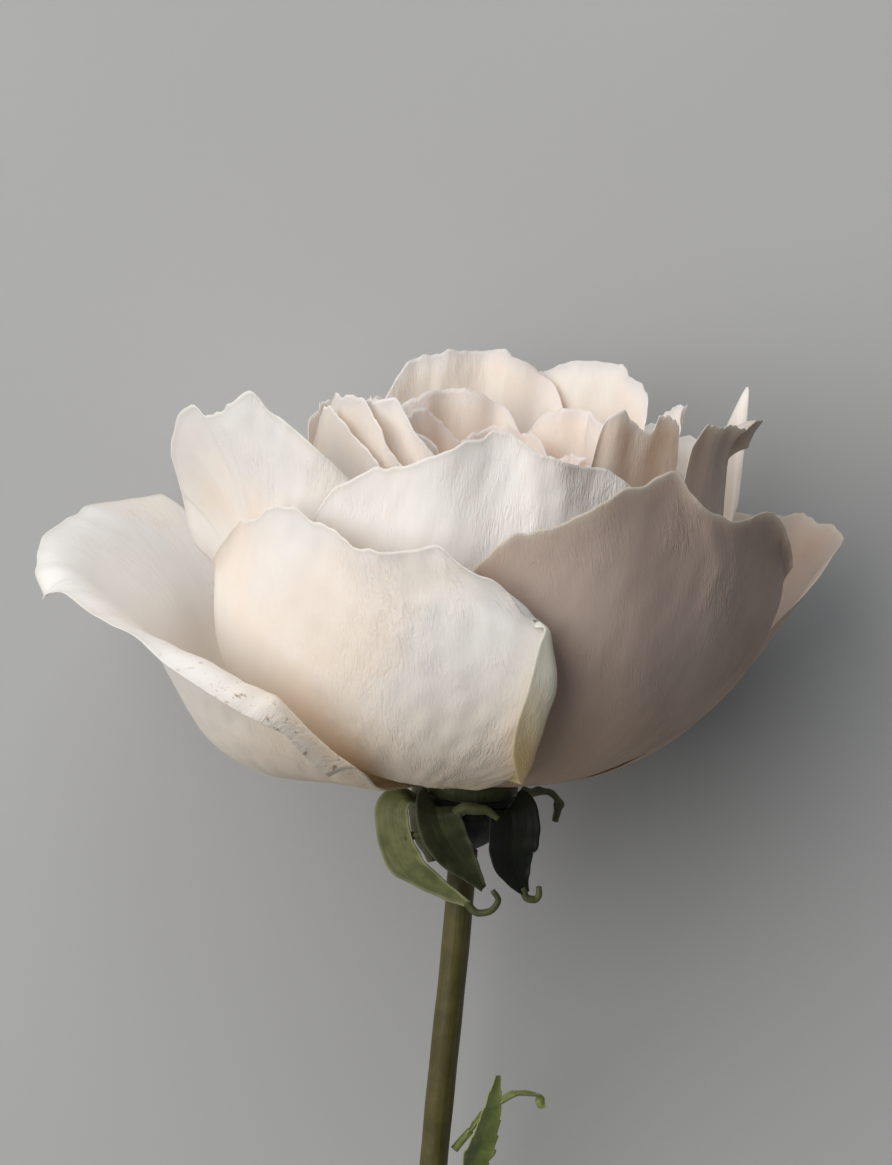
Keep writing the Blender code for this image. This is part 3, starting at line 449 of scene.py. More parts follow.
def turned(profile, sides):
    """Closed solid of revolution: (r sin a, -r cos a, z) from (radius, height) points, both ends at r = 0."""
    prof = np.array(profile, float)
    a = 2 * math.pi * np.arange(sides) / sides
    ring = prof[1:-1]
    verts = np.stack([ring[:, :1] * np.sin(a), -ring[:, :1] * np.cos(a), np.repeat(ring[:, 1:], sides, axis=1)],
                     axis=-1).reshape(-1, 3)
    verts = np.concatenate([verts, [[0, 0, prof[0, 1]], [0, 0, prof[-1, 1]]]])
    return (verts, *ring_faces(len(ring), sides))


def tube(path, radii, sides, ridges=None):
    """Closed tube along a path: point + r (cos a one + sin a two), where one and two are square to the path.

    ridges(t, a) is added to r. The ends close on a middle point.
    """
    path = np.array(path, float)
    count = len(path)
    r = np.interp(np.linspace(0, 1, count), np.linspace(0, 1, len(radii)), radii)[:, None]
    way = unit(np.gradient(path, axis=0))
    one = unit(np.cross(np.array([0.0, 1.0, 0.0]), way))
    two = np.cross(way, one)
    a = 2 * math.pi * np.arange(sides) / sides
    if ridges is not None:
        r = r + ridges(np.linspace(0, 1, count)[:, None], a[None, :])
    else:
        r = np.repeat(r, sides, axis=1)
    verts = path[:, None] + r[..., None] * (np.cos(a)[:, None] * one[:, None] + np.sin(a)[:, None] * two[:, None])
    verts = np.concatenate([verts.reshape(-1, 3), path[:1], path[-1:]])
    return (verts, *ring_faces(count, sides))


def blade(points, widths, face, rows, cols, cup=0.15, teeth=0.0, teeth_count=6, root_face=None, curl=0.0,
          rib=0.0, seed=1):
    """Leaf or sepal surface: spine(t) + w(t) u across + (cup w u^2 - rib exp(-(u / 0.1)^2) (1 - t)) up.

    teeth widen w in steps along the edge, and curl waves it by a sum of three sines of t, times u^3.
    face is the way the blade looks, root_face the way it looks at its root.
    """
    spine = along(points, rows + 1)
    t = np.linspace(0, 1, rows + 1)
    w = curve(t, list(zip(np.linspace(0, 1, len(widths)), widths)))
    w = w * (1 + teeth * ((t * teeth_count) % 1.0))
    way = unit(np.gradient(spine, axis=0))
    face = np.array(face, float) / np.linalg.norm(face)
    if root_face:
        share = smooth(t / 0.35)[:, None]
        face = (1 - share) * np.array(root_face, float) + share * face
    across = unit(np.cross(way, face))
    up = np.cross(across, way)
    u = np.linspace(-1, 1, cols + 1)
    rng = np.random.default_rng(seed)
    wave = sum(np.sin(2 * math.pi * (c * t + q)) for c, q in zip((2.3, 3.7, 6.1), rng.uniform(0, 1, 3)))
    lift = (cup * w[:, None] * u[None, :] ** 2 - rib * np.exp(-(u[None, :] / 0.1) ** 2) * (1 - t[:, None])
            + curl * wave[:, None] * u[None, :] ** 3)
    beside = w[:, None] * u[None, :]
    P = spine[:, None, :] + beside[..., None] * across[:, None, :] + lift[..., None] * up[:, None, :]
    far = np.concatenate([[0], np.cumsum(np.linalg.norm(np.diff(spine, axis=0), axis=1))])
    far = np.repeat(far[:, None], cols + 1, axis=1)
    fields = dict(uv=np.stack([beside, far], axis=-1), rim_mm=w[:, None] * (1 - np.abs(u[None, :])), claw_mm=far)
    return P, fields


# The calyx, the stem and the two small leaves

UPWARD = (0.0, 0.0, 1.0)
HIP = ((0, -8.4), (1.9, -8.4), (3.2, -7.6), (5.2, -5.9), (6.3, -4.1), (6.8, -2.9), (6.5, -1.95),
       (5.2, -1.8), (0, -1.8))
SEPALS = (
    dict(points=((-4.8, -1.9, -3.6), (-7.9, -3.2, -2.0), (-9.0, -3.8, -3.4), (-8.4, -4.1, -6.6),
                 (-6.8, -4.5, -9.7), (-2.9, -5.1, -12.3), (1.4, -5.8, -14.4)),
         widths=(1.2, 1.9, 2.4, 2.4, 1.8, 1.1, 0.45), face=(-0.4, -0.9, 0.1)),
    dict(points=((-2.5, -4.6, -3.2), (-3.9, -7.1, -1.8), (-3.5, -8.3, -3.0), (-1.9, -8.1, -6.0),
                 (0.7, -7.4, -9.2), (3.0, -6.5, -11.9)),
         widths=(1.9, 2.6, 2.8, 2.4, 1.4, 0.45), face=(0.25, -1.0, 0.1)),
    dict(points=((3.5, -3.8, -3.2), (5.5, -5.8, -1.9), (5.9, -6.5, -3.8), (6.0, -6.2, -7.0),
                 (6.9, -5.6, -10.0), (8.4, -5.1, -12.5)),
         widths=(2.1, 3.2, 3.4, 3.0, 1.8, 0.5), face=(0.35, -0.9, 0.1)),
    dict(points=((4.4, 2.6, -3.4), (7.6, 3.8, -2.2), (10.2, 4.4, -1.6), (11.9, 4.6, -3.2),
                 (11.7, 4.6, -5.4)),
         widths=(1.6, 2.2, 1.3, 0.7, 0.4), face=(0.3, 0.5, 0.9)),
    dict(points=((-2.6, 4.6, -3.8), (-4.6, 7.2, -3.4), (-5.0, 7.8, -7.6), (-3.6, 7.0, -12.6)),
         widths=(1.5, 2.2, 1.7, 0.5), face=(-0.3, 1.0, 0.1)),
)
LOBES = (
    (((1.0, -5.7, -14.2), (2.6, -6.1, -15.3), (4.1, -6.2, -14.9), (5.0, -6.2, -13.4), (4.2, -6.2, -12.2)),
     (0.5, 0.45, 0.35)),
    (((7.9, -5.2, -11.8), (8.7, -5.1, -13.2), (9.6, -5.0, -13.3), (10.1, -4.9, -12.6), (10.0, -4.9, -11.6)),
     (0.45, 0.5, 0.35)),
    (((-1.6, -7.6, -2.6), (0.2, -8.3, -1.3), (2.2, -8.5, -1.3), (4.1, -8.5, -2.3)), (0.8, 0.75, 0.35)),
    (((-7.2, -4.6, -6.6), (-5.4, -5.2, -6.0), (-4.3, -5.3, -6.4)), (0.6, 0.5, 0.35)),
)
STEM_LINE = ((0.2, 0, -8.4 - SEAT_GAP), (0.1, 0, -24), (-0.4, 0, -50), (-0.3, 0, -100), (0, 0, -STEM_LENGTH))

LEAVES = {
    "leaf": dict(
        stalk=((2.15, -1.25, -61.0), (2.8, -1.8, -58.0), (3.4, -2.6, -54.5), (3.9, -3.2, -52.0)),
        points=((3.7, -3.0, -53.0), (4.8, -3.8, -48.0), (6.0, -4.4, -42.6), (6.8, -5.0, -36.8)),
        widths=(1.0, 2.2, 1.5, 0.4), face=(0.62, -0.78, 0.1)),
    "thin_leaf": dict(
        stalk=((2.15, 1.0, -49.3), (2.8, 1.2, -48.4), (3.4, 1.4, -47.6), (4.1, 1.5, -46.7)),
        points=((3.8, 1.4, -47.2), (5.7, 1.7, -44.6), (7.8, 2.0, -42.8), (10.2, 2.4, -41.6),
                (12.4, 2.7, -41.7), (13.2, 2.8, -43.4)),
        widths=(0.6, 1.1, 1.2, 1.1, 0.8, 0.4), face=(-0.35, 0.1, 0.95)),
}


# Materials

# Node settings that many nodes share
EASED = {"interpolation_type": "SMOOTHSTEP"}
TINT = {"data_type": "RGBA"}
DARKEN = {"data_type": "RGBA", "blend_type": "MULTIPLY"}
TIMES = {"operation": "MULTIPLY"}


def linear(code):
    """Linear colour from a six digit sRGB hex code."""
    c = [int(code[k:k + 2], 16) / 255 for k in (0, 2, 4)]
    return tuple(x / 12.92 if x <= 0.04045 else ((x + 0.055) / 1.055) ** 2.4 for x in c) + (1.0,)


def node(tree, kind, values=None, links=None):
    """Add a node: values are its settings, socket values or colour stops, links the sockets that feed it."""
    n = tree.nodes.new("ShaderNode" + kind)
    for key, value in (values or {}).items():
        if key == "stops":
            ramp = n.color_ramp.elements
            for k, (place, colour) in enumerate(value):
                stop = ramp[k] if k < 2 else ramp.new(place)
                stop.position = place
                stop.color = colour
        elif isinstance(key, int) or key in n.inputs:
            n.inputs[key].default_value = value
        else:
            setattr(n, key, value)
    for key, source in (links or {}).items():
        tree.links.new(source, n.inputs[key])
    return n


def start(name):
    """A new material with only its output, and what the patterns run on: the mesh's own fields and places."""
    m = bpy.data.materials.new(name)
    m.use_nodes = True
    tree = m.node_tree
    tree.nodes.clear()
    value = {key: node(tree, "Attribute", {"attribute_name": key}).outputs["Fac"]
             for key in ("claw_mm", "rim_mm", "age", "tint_and_painted_shade", "crinkle", "fold", "shade")}
    value["place"] = node(tree, "TexCoord").outputs["Object"]
    value["uv"] = node(tree, "UVMap", {"uv_map": "petal_mm"}).outputs[0]
    return m, tree, node(tree, "OutputMaterial"), value


def petal_material(name, claw, low, mid, body, blush, rim, vein, subsurface):
    """Rose petal: a thin sheet of tissue with papillae, white with a cream-to-peach claw and fine veins. Petals that
    face away from the key light are darkened by painted shade.

    Veins 0.6 mm apart crinkle the sheet in patches 8 mm wide, folds run 3 mm apart, and blush lies in
    patches 25 mm wide. The rim dries first: its last millimetre is duller, and an old petal has brown grit
    by it in specks 1 mm wide. A turned-out flap is greenish, with a tan tip. The papillae make it look like
    matt satin: rough, with a slight sheen, and light gets through it.
    """
    m, tree, out, value = start(name)
    place, uv = {"Vector": value["place"]}, {"Vector": value["uv"]}
    far = node(tree, "MapRange", {**EASED, "From Max": 46.0}, {"Value": value["claw_mm"]}).outputs[0]
    stops = ((0.0, linear(claw)), (1.0, linear(body)), (0.32, linear(low)), (0.66, linear(mid)))
    colour = node(tree, "ValToRGB", {"stops": stops}, {"Fac": far}).outputs[0]
    patch = node(tree, "TexNoise", {"Scale": 40.0, "Detail": 3.0, "Roughness": 0.55}, place).outputs["Fac"]
    share = node(tree, "MapRange", {**EASED, "From Min": 0.45, "From Max": 0.72, "To Max": 0.6},
                 {"Value": patch}).outputs[0]
    colour = node(tree, "Mix", {**TINT, 7: linear(blush)}, {0: share, 6: colour}).outputs[2]
    # Painted shade: a brownish grey is multiplied in, fully on the petals that face away from the key light, and as a
    # slight brown tint on a few others
    colour = node(tree, "Mix", {**DARKEN, 7: linear("bcada4")}, {0: value["tint_and_painted_shade"], 6: colour}).outputs[2]

    narrow = node(tree, "Mapping", {"Scale": (1700.0, 500.0, 1.0)}, uv).outputs[0]
    veins = node(tree, "TexNoise", {"Scale": 1.0, "Detail": 2.5, "Roughness": 0.6, "Distortion": 1.3},
                 {"Vector": narrow}).outputs["Fac"]
    wide = node(tree, "Mapping", {"Scale": (330.0, 75.0, 1.0)}, uv).outputs[0]
    folds = node(tree, "TexNoise", {"Scale": 1.0, "Detail": 2.0, "Roughness": 0.5, "Distortion": 0.5},
                 {"Vector": wide}).outputs["Fac"]
    where = node(tree, "TexNoise", {"Scale": 120.0, "Detail": 2.0}, place).outputs["Fac"]
    where = node(tree, "MapRange", {**EASED, "From Min": 0.42, "From Max": 0.62, "To Min": 0.22},
                 {"Value": where}).outputs[0]
    where = node(tree, "Math", TIMES, {0: where, 1: value["crinkle"]}).outputs[0]
    line = node(tree, "MapRange", {**EASED, "From Min": 0.45, "From Max": 0.75, "To Max": 0.2},
                {"Value": veins}).outputs[0]
    line = node(tree, "Math", TIMES, {0: line, 1: where}).outputs[0]
    colour = node(tree, "Mix", {**DARKEN, 7: linear(vein)}, {0: line, 6: colour}).outputs[2]

    patch = node(tree, "TexNoise", {"Scale": 450.0, "Detail": 2.0}, place).outputs["Fac"]
    edge = node(tree, "MapRange", {**EASED, "From Min": 1.2, "From Max": 0.1, "To Max": 0.6},
                {"Value": value["rim_mm"]}).outputs[0]
    edge = node(tree, "Math", TIMES, {0: edge, 1: patch}).outputs[0]
    colour = node(tree, "Mix", {**TINT, 7: linear(rim)}, {0: edge, 6: colour}).outputs[2]
    turned_out = node(tree, "Math", {**TIMES, 1: 0.55}, {0: value["fold"]}).outputs[0]
    colour = node(tree, "Mix", {**TINT, 7: linear("cbccb6")}, {0: turned_out, 6: colour}).outputs[2]
    tip = node(tree, "MapRange", {**EASED, "From Min": 38.0, "From Max": 24.0, "To Max": 0.85},
               {"Value": value["claw_mm"]}).outputs[0]
    tip = node(tree, "Math", TIMES, {0: tip, 1: value["fold"]}).outputs[0]
    colour = node(tree, "Mix", {**TINT, 7: linear("c2a566")}, {0: tip, 6: colour}).outputs[2]
    grit = node(tree, "TexNoise", {"Scale": 900.0, "Detail": 3.0, "Roughness": 0.7}, place).outputs["Fac"]
    grit = node(tree, "MapRange", {**EASED, "From Min": 0.57, "From Max": 0.7, "To Max": 0.8},
                {"Value": grit}).outputs[0]
    near = node(tree, "MapRange", {**EASED, "From Min": 6.0, "From Max": 1.0}, {"Value": value["rim_mm"]}).outputs[0]
    down = node(tree, "MapRange", {**EASED, "From Min": 48.0, "From Max": 34.0},
                {"Value": value["claw_mm"]}).outputs[0]
    near = node(tree, "Math", TIMES, {0: near, 1: down}).outputs[0]
    near = node(tree, "Math", TIMES, {0: near, 1: value["age"]}).outputs[0]
    grit = node(tree, "Math", TIMES, {0: grit, 1: near}).outputs[0]
    colour = node(tree, "Mix", {**TINT, 7: linear("8a6a45")}, {0: grit, 6: colour}).outputs[2]

    grain = node(tree, "TexNoise", {"Scale": 3500.0, "Detail": 2.0}, place).outputs["Fac"]
    bump = node(tree, "Bump", {"Strength": 0.25, "Distance": 0.00005}, {"Height": grain}).outputs[0]
    veins = node(tree, "Math", TIMES, {0: veins, 1: where}).outputs[0]
    bump = node(tree, "Bump", {"Strength": 0.9, "Distance": 0.00034}, {"Height": veins, "Normal": bump}).outputs[0]
    bump = node(tree, "Bump", {"Strength": 0.15, "Distance": 0.0005}, {"Height": folds, "Normal": bump}).outputs[0]
    shader = node(tree, "BsdfPrincipled",
                  {"Roughness": 0.56, "IOR": 1.42, "Specular IOR Level": 0.35, "Subsurface Weight": subsurface,
                   "Subsurface Radius": (1.0, 0.75, 0.55), "Subsurface Scale": 0.0012, "Sheen Weight": 0.08,
                   "Sheen Roughness": 0.5},
                  {"Base Color": colour, "Normal": bump})
    tree.links.new(shader.outputs[0], out.inputs["Surface"])
    return m


def green_material(name, base, dark, pale, edge, rough, vein_scale, patchy, felt=0.0):
    """Green plant skin: a waxy cuticle over green that is mottled in spots 4 mm wide.

    Paler patches 17 mm wide, paler veins along it that rise a little, and a paler edge half a millimetre wide. shade
    is painted shadow: it darkens the parts that lie in the bloom's shadow, and on the sepals it also stands for the
    darker green of their outer side.
    """
    m, tree, out, value = start(name)
    place = {"Vector": value["place"]}
    mottle = node(tree, "TexNoise", {"Scale": 260.0, "Detail": 4.0, "Roughness": 0.6}, place).outputs["Fac"]
    share = node(tree, "MapRange", {**EASED, "From Min": 0.36, "From Max": 0.64}, {"Value": mottle}).outputs[0]
    colour = node(tree, "Mix", {**TINT, 6: linear(dark), 7: linear(base)}, {0: share}).outputs[2]
    broad = node(tree, "TexNoise", {"Scale": 60.0, "Detail": 2.0}, place).outputs["Fac"]
    share = node(tree, "MapRange", {**EASED, "From Min": 0.48, "From Max": 0.72, "To Max": patchy},
                 {"Value": broad}).outputs[0]
    colour = node(tree, "Mix", {**TINT, 7: linear(pale)}, {0: share, 6: colour}).outputs[2]
    stretch = node(tree, "Mapping", {"Scale": vein_scale}, {"Vector": value["uv"]}).outputs[0]
    veins = node(tree, "TexNoise", {"Scale": 1.0, "Detail": 3.0, "Roughness": 0.6}, {"Vector": stretch}).outputs["Fac"]
    share = node(tree, "MapRange", {**EASED, "From Min": 0.5, "From Max": 0.7, "To Max": 0.3},
                 {"Value": veins}).outputs[0]
    colour = node(tree, "Mix", {**TINT, 7: linear(pale)}, {0: share, 6: colour}).outputs[2]
    share = node(tree, "MapRange", {**EASED, "From Min": 0.5, "From Max": 0.0, "To Max": 0.5},
                 {"Value": value["rim_mm"]}).outputs[0]
    colour = node(tree, "Mix", {**TINT, 7: linear(edge)}, {0: share, 6: colour}).outputs[2]
    # Painted shadow: a dark olive is multiplied in by shade, for the bloom's shadow that falls on these parts
    colour = node(tree, "Mix", {**DARKEN, 7: linear("353a26")}, {0: value["shade"], 6: colour}).outputs[2]
    grain = node(tree, "TexNoise", {"Scale": 2200.0, "Detail": 2.0}, place).outputs["Fac"]
    bump = node(tree, "Bump", {"Strength": 0.4, "Distance": 0.00006}, {"Height": grain}).outputs[0]
    bump = node(tree, "Bump", {"Strength": 0.6, "Distance": 0.0002}, {"Height": veins, "Normal": bump}).outputs[0]
    shader = node(tree, "BsdfPrincipled",
                  {"Roughness": rough, "IOR": 1.45, "Specular IOR Level": 0.4, "Subsurface Weight": 0.06,
                   "Subsurface Radius": (0.5, 1.0, 0.3), "Subsurface Scale": 0.0006, "Sheen Weight": felt,
                   "Sheen Roughness": 0.4},
                  {"Base Color": colour, "Normal": bump})
    tree.links.new(shader.outputs[0], out.inputs["Surface"])
    return m


def plain_material(name, scale, one, other, rough, rise):
    """Two colours in patches 1 m / scale wide, matt and with a rise to match: pollen dust or paper."""
    m, tree, out, value = start(name)
    dust = node(tree, "TexNoise", {"Scale": scale, "Detail": 3.0}, {"Vector": value["place"]}).outputs["Fac"]
    share = node(tree, "MapRange", {**EASED, "From Min": 0.4, "From Max": 0.6}, {"Value": dust}).outputs[0]
    colour = node(tree, "Mix", {**TINT, 6: linear(one), 7: linear(other)}, {0: share}).outputs[2]
    bump = node(tree, "Bump", {"Strength": 0.6, "Distance": rise}, {"Height": dust}).outputs[0]
    shader = node(tree, "BsdfPrincipled", {"Roughness": rough, "IOR": 1.45, "Specular IOR Level": 0.1},
                  {"Base Color": colour, "Normal": bump})
    tree.links.new(shader.outputs[0], out.inputs["Surface"])
    return m


# Outer petals: cool white skin with a cream claw, nearly opaque
PETAL = petal_material("rose_petal_tissue", claw="ead3a0", low="f1dcc2", mid="f3e6d6", body="f4efea",
                       blush="f4e0cb", rim="d3ccba", vein="e0cdb8", subsurface=0.2)
# Young petals of the heart: peach-pink, thinner, so that more light glows through them
HEART_PETAL = petal_material("rose_heart_tissue", claw="f6c4a2", low="f7cfba", mid="f8ddd0", body="f8e9dd",
                             blush="f7d4c6", rim="efe0d6", vein="ecd2c4", subsurface=0.6)
# Sepals: fine felt over green that takes the gloss away
SEPAL = green_material("felted_sepal_skin", base="75794a", dark="565c33", pale="9a9a6e", edge="a9a884", rough=0.62,
                       vein_scale=(1400.0, 120.0, 1.0), patchy=0.5, felt=0.1)
# Stem: olive skin browned by the sun, under wax that shines a little along it
STEM = green_material("waxy_stem_skin", base="575029", dark="48431f", pale="6e683c", edge="575029", rough=0.45,
                      vein_scale=(900.0, 30.0, 1.0), patchy=0.25)
# Leaves: fresh yellow green with the most gloss, and veins that run to the edge
LEAF = green_material("leaf_blade_cuticle", base="879350", dark="65723a", pale="adb476", edge="8f8d50", rough=0.42,
                      vein_scale=(300.0, 500.0, 1.0), patchy=0.4)
# Stamens: powdery yellow pollen in grains 0.4 mm wide
POLLEN = plain_material("stamen_pollen", 2500.0, "d9b04c", "a9762a", 0.8, 0.0001)
# Floor: a sheet of matt grey paper, clouded very slightly over 25 cm
BACKDROP = plain_material("matt_paper_backdrop", 4.0, "b0b0af", "b4b4b1", 0.9, 0.0)


# Pieces

def piece(name, verts, quads, tris=None, flat=None, fields=None, material=None, nodes=()):
    """One mesh piece in the lying frame, with its attributes, riding on the root. flat marks sharp faces."""
    mesh = bpy.data.meshes.new(name)
    tris = np.zeros((0, 3), int) if tris is None else tris
    mesh.vertices.add(len(verts))
    mesh.vertices.foreach_set("co", world(verts).astype(np.float32).ravel())
    mesh.loops.add(4 * len(quads) + 3 * len(tris))
    mesh.loops.foreach_set("vertex_index", np.concatenate([quads.ravel(), tris.ravel()]).astype(np.int32))
    mesh.polygons.add(len(quads) + len(tris))
    starts = np.concatenate([4 * np.arange(len(quads)), 4 * len(quads) + 3 * np.arange(len(tris))])
    mesh.polygons.foreach_set("loop_start", starts.astype(np.int32))
    soft = np.ones(len(mesh.polygons), bool)
    if flat is not None:
        soft[:len(flat)] = ~flat
    mesh.polygons.foreach_set("use_smooth", soft)
    mesh.update(calc_edges=True)
    for key, value in (fields or {}).items():
        if key == "uv":
            layer = mesh.uv_layers.new(name="petal_mm")
            corner = np.zeros(len(mesh.loops), np.int32)
            mesh.loops.foreach_get("vertex_index", corner)
            layer.data.foreach_set("uv", (MM * value[corner]).astype(np.float32).ravel())
        else:
            layer = mesh.attributes.new(key, "FLOAT", "POINT")
            layer.data.foreach_set("value", np.asarray(value, np.float32).ravel())
    mesh.materials.append(material)
    ob = bpy.data.objects.new(name, mesh)
    bpy.context.scene.collection.objects.link(ob)
    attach(ob, "root")
    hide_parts(*nodes)


def joined(parts):
    """Several (verts, quads, tris, fields) as one: indices are moved on, missing fields are filled in."""
    verts, quads, tris, total = [], [], [], 0
    blank = {"uv": (1.0, 1.0), "rim_mm": (1.0,), "claw_mm": (1.0,), "shade": (0.0,)}
    fields = {k: [] for k in blank}
    for v, q, t, f in parts:
        verts.append(v)
        quads.append(q + total)
        tris.append((t if t is not None else np.zeros((0, 3), int)) + total)
        for k, value in blank.items():
            got = np.reshape(f[k], (-1, len(value))) if f and k in f else np.array([value])
            fields[k].append(np.broadcast_to(got, (len(v), len(value))))
        total += len(v)
    return (np.concatenate(verts), np.concatenate(quads), np.concatenate(tris),
            {k: np.concatenate(g) for k, g in fields.items()})


def press(verts, clear):
    """Keep points above the floor: a point lower than clear mm is moved straight up to that height."""
    w = world(verts)
    gap = np.minimum(w[:, 2] - MM * clear, 0) / MM
    return verts + gap[:, None] * np.array([0.0, math.cos(TILT), -math.sin(TILT)])


PETAL_THICKNESS = (0.07, 0.26, 3.0)  # mm at the rim, what the body has more, and how far in it has all of it
PRESSED_MM = 0.28  # a petal's inner side stays this far above the floor where its outer side is pressed flat

# How old a petal is, how much painted shade and slight brown tint darken it, and how crinkled it is, from 0 to 1,
# where that differs from the rest; the painted shade is strongest on the right-hand petals that face away from the key
# light
LOOKS = {"outer_petal_far_left": (1.0, 0.1, 0.5), "outer_petal_front_left": (0.0, 0.13, 0.7),
         "outer_petal_front_right": (0.0, 1.0, 1.0), "outer_petal_far_right": (0.0, 0.9, 0.6),
         "middle_petal_right": (0.0, 0.7, 0.8), "middle_petal_front": (0.0, 0.08, 0.8),
         "inner_petal_right": (0.0, 0.15, 0.8)}
for name, spec, columns, rows, pink in whorls():
    grid, fields = petal_sheet(spec, columns, rows)
    verts, quads, flat, data = shell(grid, thinned(fields["rim_mm"], *PETAL_THICKNESS), fields)
    half = len(verts) // 2
    verts = np.concatenate([press(verts[:half], 0.0), press(verts[half:], PRESSED_MM)])
    for key, value in zip(("age", "tint_and_painted_shade", "crinkle"), LOOKS.get(name, (0.0, 0.0, 0.5))):
        data[key] = np.full((len(verts), 1), value)
    data["crinkle"] = data["crinkle"] * (0.35 + 0.65 * smooth(0.5 + data["uv"][:, :1] / 24))
    is_heart = name.startswith("heart")
    piece(name, verts, quads, flat=flat, fields=data, material=HEART_PETAL if pink else PETAL,
          nodes=("heart_petals",) if is_heart else ("petals",))

# The cones that bear the petals and the heart, inside the bloom. The lower one is green, as the hip is, and darkened
# by painted shade from the petals round it.
CORE = ((0, -1.4), (5.2, -1.4), (6.5, -0.8), (6.5, 0.6), (5.7, 1.6), (5.5, 2.8), (4.8, 4.0), (4.4, 5.2), (3.6, 5.85),
        (0, 5.85))
HEART_CONE = ((0, 6.2), (4.3, 6.2), (5.0, 8.0), (5.0, 10.5), (3.9, 10.5), (3.1, 8.6), (2.6, 6.4), (0, 6.4))
for name, profile, node_name, slot_name in (("petal_base", CORE, "petals", "petal_white"),
                                            ("heart_base", HEART_CONE, "heart_petals", "petal_heart")):
    verts, quads, tris = turned(profile, 48)
    data = dict(uv=np.stack([verts[:, 0], verts[:, 2]], axis=1), rim_mm=np.full(len(verts), 9.0),
                claw_mm=np.zeros(len(verts)), shade=np.full(len(verts), 0.7))
    piece(name, verts, quads, tris, fields=data, material=SEPAL if node_name == "petals" else HEART_PETAL,
          nodes=(node_name,))

# Stamens: leaning threads with thick tips on a low disc, each turned on from the last by the golden angle
STAMENS, GOLDEN_SHARE, DISC_RADIUS = 44, 0.382, 1.9
rng = np.random.default_rng(12)
threads = [(*turned(((0, 6.25), (2.4, 6.25), (2.3, 7.1), (1.6, 7.5), (0, 7.6)), 32), None)]
for k in range(STAMENS):
    a = 2 * math.pi * (k * GOLDEN_SHARE)
    foot = DISC_RADIUS * math.sqrt((k + 0.5) / STAMENS)
    head = foot * 1.5 + 0.3
    tall = 13.5 + rng.uniform(-1.2, 1.2) - 0.5 * foot
    low = np.array((foot * math.sin(a), -foot * math.cos(a), 6.9))
    high = np.array((head * math.sin(a), -head * math.cos(a), tall))
    threads.append((*tube(along((low, 0.5 * (low + high) + (0, 0, 0.4), high), 7), (0.14, 0.1), 6), None))
    side = np.array((math.cos(a), math.sin(a), 0.3))
    threads.append((*tube(along((high - 0.5 * side, high + (0, 0, 0.25), high + 0.5 * side), 6),
                          (0.12, 0.34, 0.38, 0.34, 0.12), 7), None))
verts, quads, tris, data = joined(threads)
piece("stamens_fine", verts, quads, tris, fields=data, material=POLLEN, nodes=("stamens",))


# Calyx
def hip_profile(count):
    """A smooth line through the hip's points with its two flat ends on the axis."""
    p = along([(r, z, 0) for r, z in HIP[1:-1]], count)[:, :2]
    return np.concatenate([[(0, HIP[0][1])], p, [(0, HIP[-1][1])]])


SEPAL_SHADES = (0.05, 0.75, 1.0, 0.6, 0.7)  # painted shadow: how much the bloom's shadow darkens each one, with some of the darker green of its outer side
green = []
verts, quads, tris = turned(hip_profile(40), 72)
turn = np.arctan2(verts[:, 0], -verts[:, 1])
verts[:, :2] *= (1 + 0.012 * np.sin(9 * turn) + 0.008 * np.sin(17 * turn + 1))[:, None]
# The hip lies under the bloom and is darkened in full by painted shadow
green.append((verts, quads, tris, dict(uv=np.stack([6 * turn, verts[:, 2]], axis=1), shade=1.0)))
for k, (one, shade) in enumerate(zip(SEPALS, SEPAL_SHADES)):
    grid, fields = blade(rows=90, cols=24, cup=0.35, root_face=UPWARD, curl=0.12, rib=0.18, seed=k + 3, **one)
    verts, quads, flat, data = shell(grid, thinned(fields["rim_mm"], 0.16, 0.3, 1.2), fields)
    green.append((verts, quads, None, {**data, "shade": shade}))
# The small lobes are half darkened by painted shadow
for points, radii in LOBES:
    green.append((*tube(along(points, 30), radii, 14), dict(shade=0.5)))
verts, quads, tris, data = joined(green)
piece("calyx_fine", verts, quads, tris, fields=data, material=SEPAL, nodes=("calyx",))


# Stem
def ridges(t, a):
    """Low ridges along the stem and slight swellings: sines of the angle and of the length."""
    return (0.025 * np.sin(5 * a + 3 * t) + 0.015 * np.sin(11 * a - 5 * t) + 0.03 * np.sin(40 * t + np.cos(a))
            + 0.02 * np.sin(97 * t + 2 * np.sin(a)))


STEM_ROWS, STEM_SIDES = 260, 56
path = along(STEM_LINE, STEM_ROWS)[::-1]
verts, quads, tris = tube(path, (1.9, 1.8), STEM_SIDES, ridges)
axis_x = np.concatenate([np.repeat(path[:, 0], STEM_SIDES), path[[0, -1], 0]])
turn = np.arctan2(verts[:, 0] - axis_x, -verts[:, 1])
data = dict(uv=np.stack([2 * turn, verts[:, 2]], axis=1), rim_mm=np.full(len(verts), 5.0))
piece("stem_fine", verts, quads, tris, fields=data, material=STEM, nodes=("stem",))

# Leaves
for name, leaf in LEAVES.items():
    spec = {key: leaf[key] for key in ("points", "widths", "face")}
    grid, fields = blade(rows=140, cols=24, teeth=0.16, teeth_count=8, cup=0.3, curl=0.06, rib=0.08, **spec)
    verts, quads, flat, data = shell(grid, thinned(fields["rim_mm"], 0.16, 0.2, 1.0), fields)
    both = [(verts, quads, None, data), (*tube(along(leaf["stalk"], 24), (0.55, 0.5), 16), None)]
    verts, quads, tris, data = joined(both)
    piece(name + "_fine", verts, quads, tris, fields=data, material=LEAF, nodes=(name,))


# Floor, light and camera

FLOOR = 2.0  # metres from its middle to each edge
mesh = bpy.data.meshes.new("floor")
mesh.from_pydata([(-FLOOR, -FLOOR, 0), (FLOOR, -FLOOR, 0), (FLOOR, FLOOR, 0), (-FLOOR, FLOOR, 0)], [], [(0, 1, 2, 3)])
mesh.materials.append(BACKDROP)
floor = bpy.data.objects.new("floor", mesh)
bpy.context.scene.collection.objects.link(floor)


def turn_to_world(v):
    """A direction in the flower's frame as one in the lying frame."""
    return (world(v) - world((0, 0, 0))) / MM


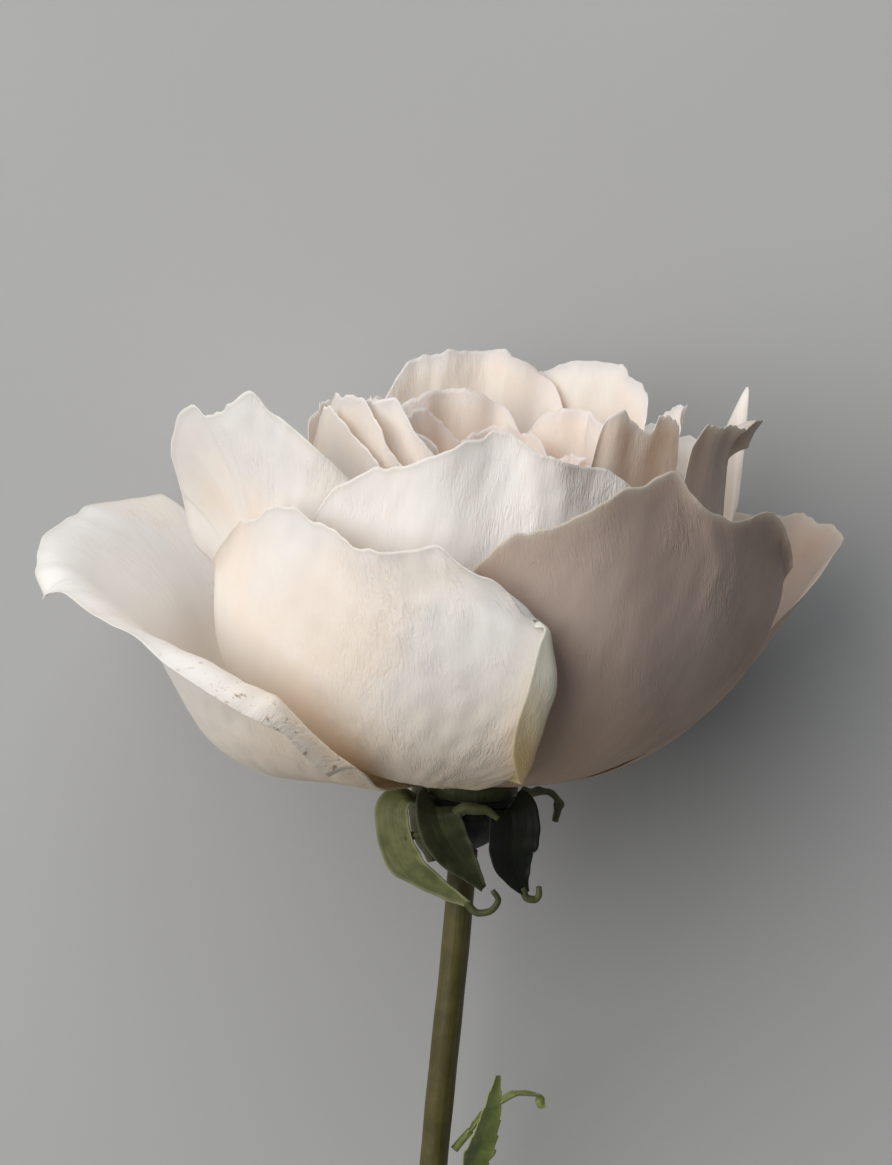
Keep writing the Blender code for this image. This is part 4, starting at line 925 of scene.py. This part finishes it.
def area_light(name, direction, distance, size, power, colour):
    """A round soft light in that direction of the lying frame, distance and size in metres, aimed at the bloom."""
    data = bpy.data.lights.new(name, "AREA")
    data.shape = "DISK"
    data.size = size
    data.energy = power
    data.color = colour
    ob = bpy.data.objects.new(name, data)
    back = unit(np.array(direction, float))
    aim = world((0, 0, 20))
    side = unit(np.cross((0.0, 0.0, 1.0), back))
    up = np.cross(back, side)
    ob.matrix_world = Matrix([(*row, t) for row, t in zip(np.stack([side, up, back], axis=1), aim + distance * back)]
                             + [(0, 0, 0, 1)])
    bpy.context.scene.collection.objects.link(ob)


# A broad light from the upper left, as in the photo, and a weaker one from above the bloom
area_light("key_light", (-0.66, 0.14, 0.74), 1.4, 1.7, 20.8, (1.0, 0.985, 0.965))
area_light("top_light", (-0.2, 0.86, 0.47), 1.3, 1.3, 8.0, (0.97, 0.985, 1.0))

sky = bpy.data.worlds.new("studio")
sky.use_nodes = True
sky.node_tree.nodes["Background"].inputs["Color"].default_value = (0.62, 0.66, 0.72, 1.0)
sky.node_tree.nodes["Background"].inputs["Strength"].default_value = 0.2
bpy.context.scene.world = sky
bpy.context.scene.view_settings.view_transform = "Standard"

# The photo's camera: it looks down on the bloom by 10 degrees, and the picture is turned by 4.5 degrees
ELEVATION, ROLL, DISTANCE, TARGET = math.radians(10.0), math.radians(4.5), 400.0, np.array((-4.7, 0.0, 25.5))
back = np.array((0.0, -math.cos(ELEVATION), math.sin(ELEVATION)))
right = np.array((1.0, 0.0, 0.0))
up = np.cross(back, right)
right, up = math.cos(ROLL) * right + math.sin(ROLL) * up, -math.sin(ROLL) * right + math.cos(ROLL) * up
data = bpy.data.cameras.new("camera")
data.lens = 98.27  # so that the bloom fills the picture as in the photo
data.sensor_width = 36.0
data.clip_start = 0.02
camera = bpy.data.objects.new("camera", data)
turned_axes = np.stack([turn_to_world(v) for v in (right, up, back)], axis=1)
camera.matrix_world = Matrix([(*row, t) for row, t in zip(turned_axes, world(TARGET + DISTANCE * back))]
                             + [(0, 0, 0, 1)])
bpy.context.scene.collection.objects.link(camera)
bpy.context.scene.camera = camera
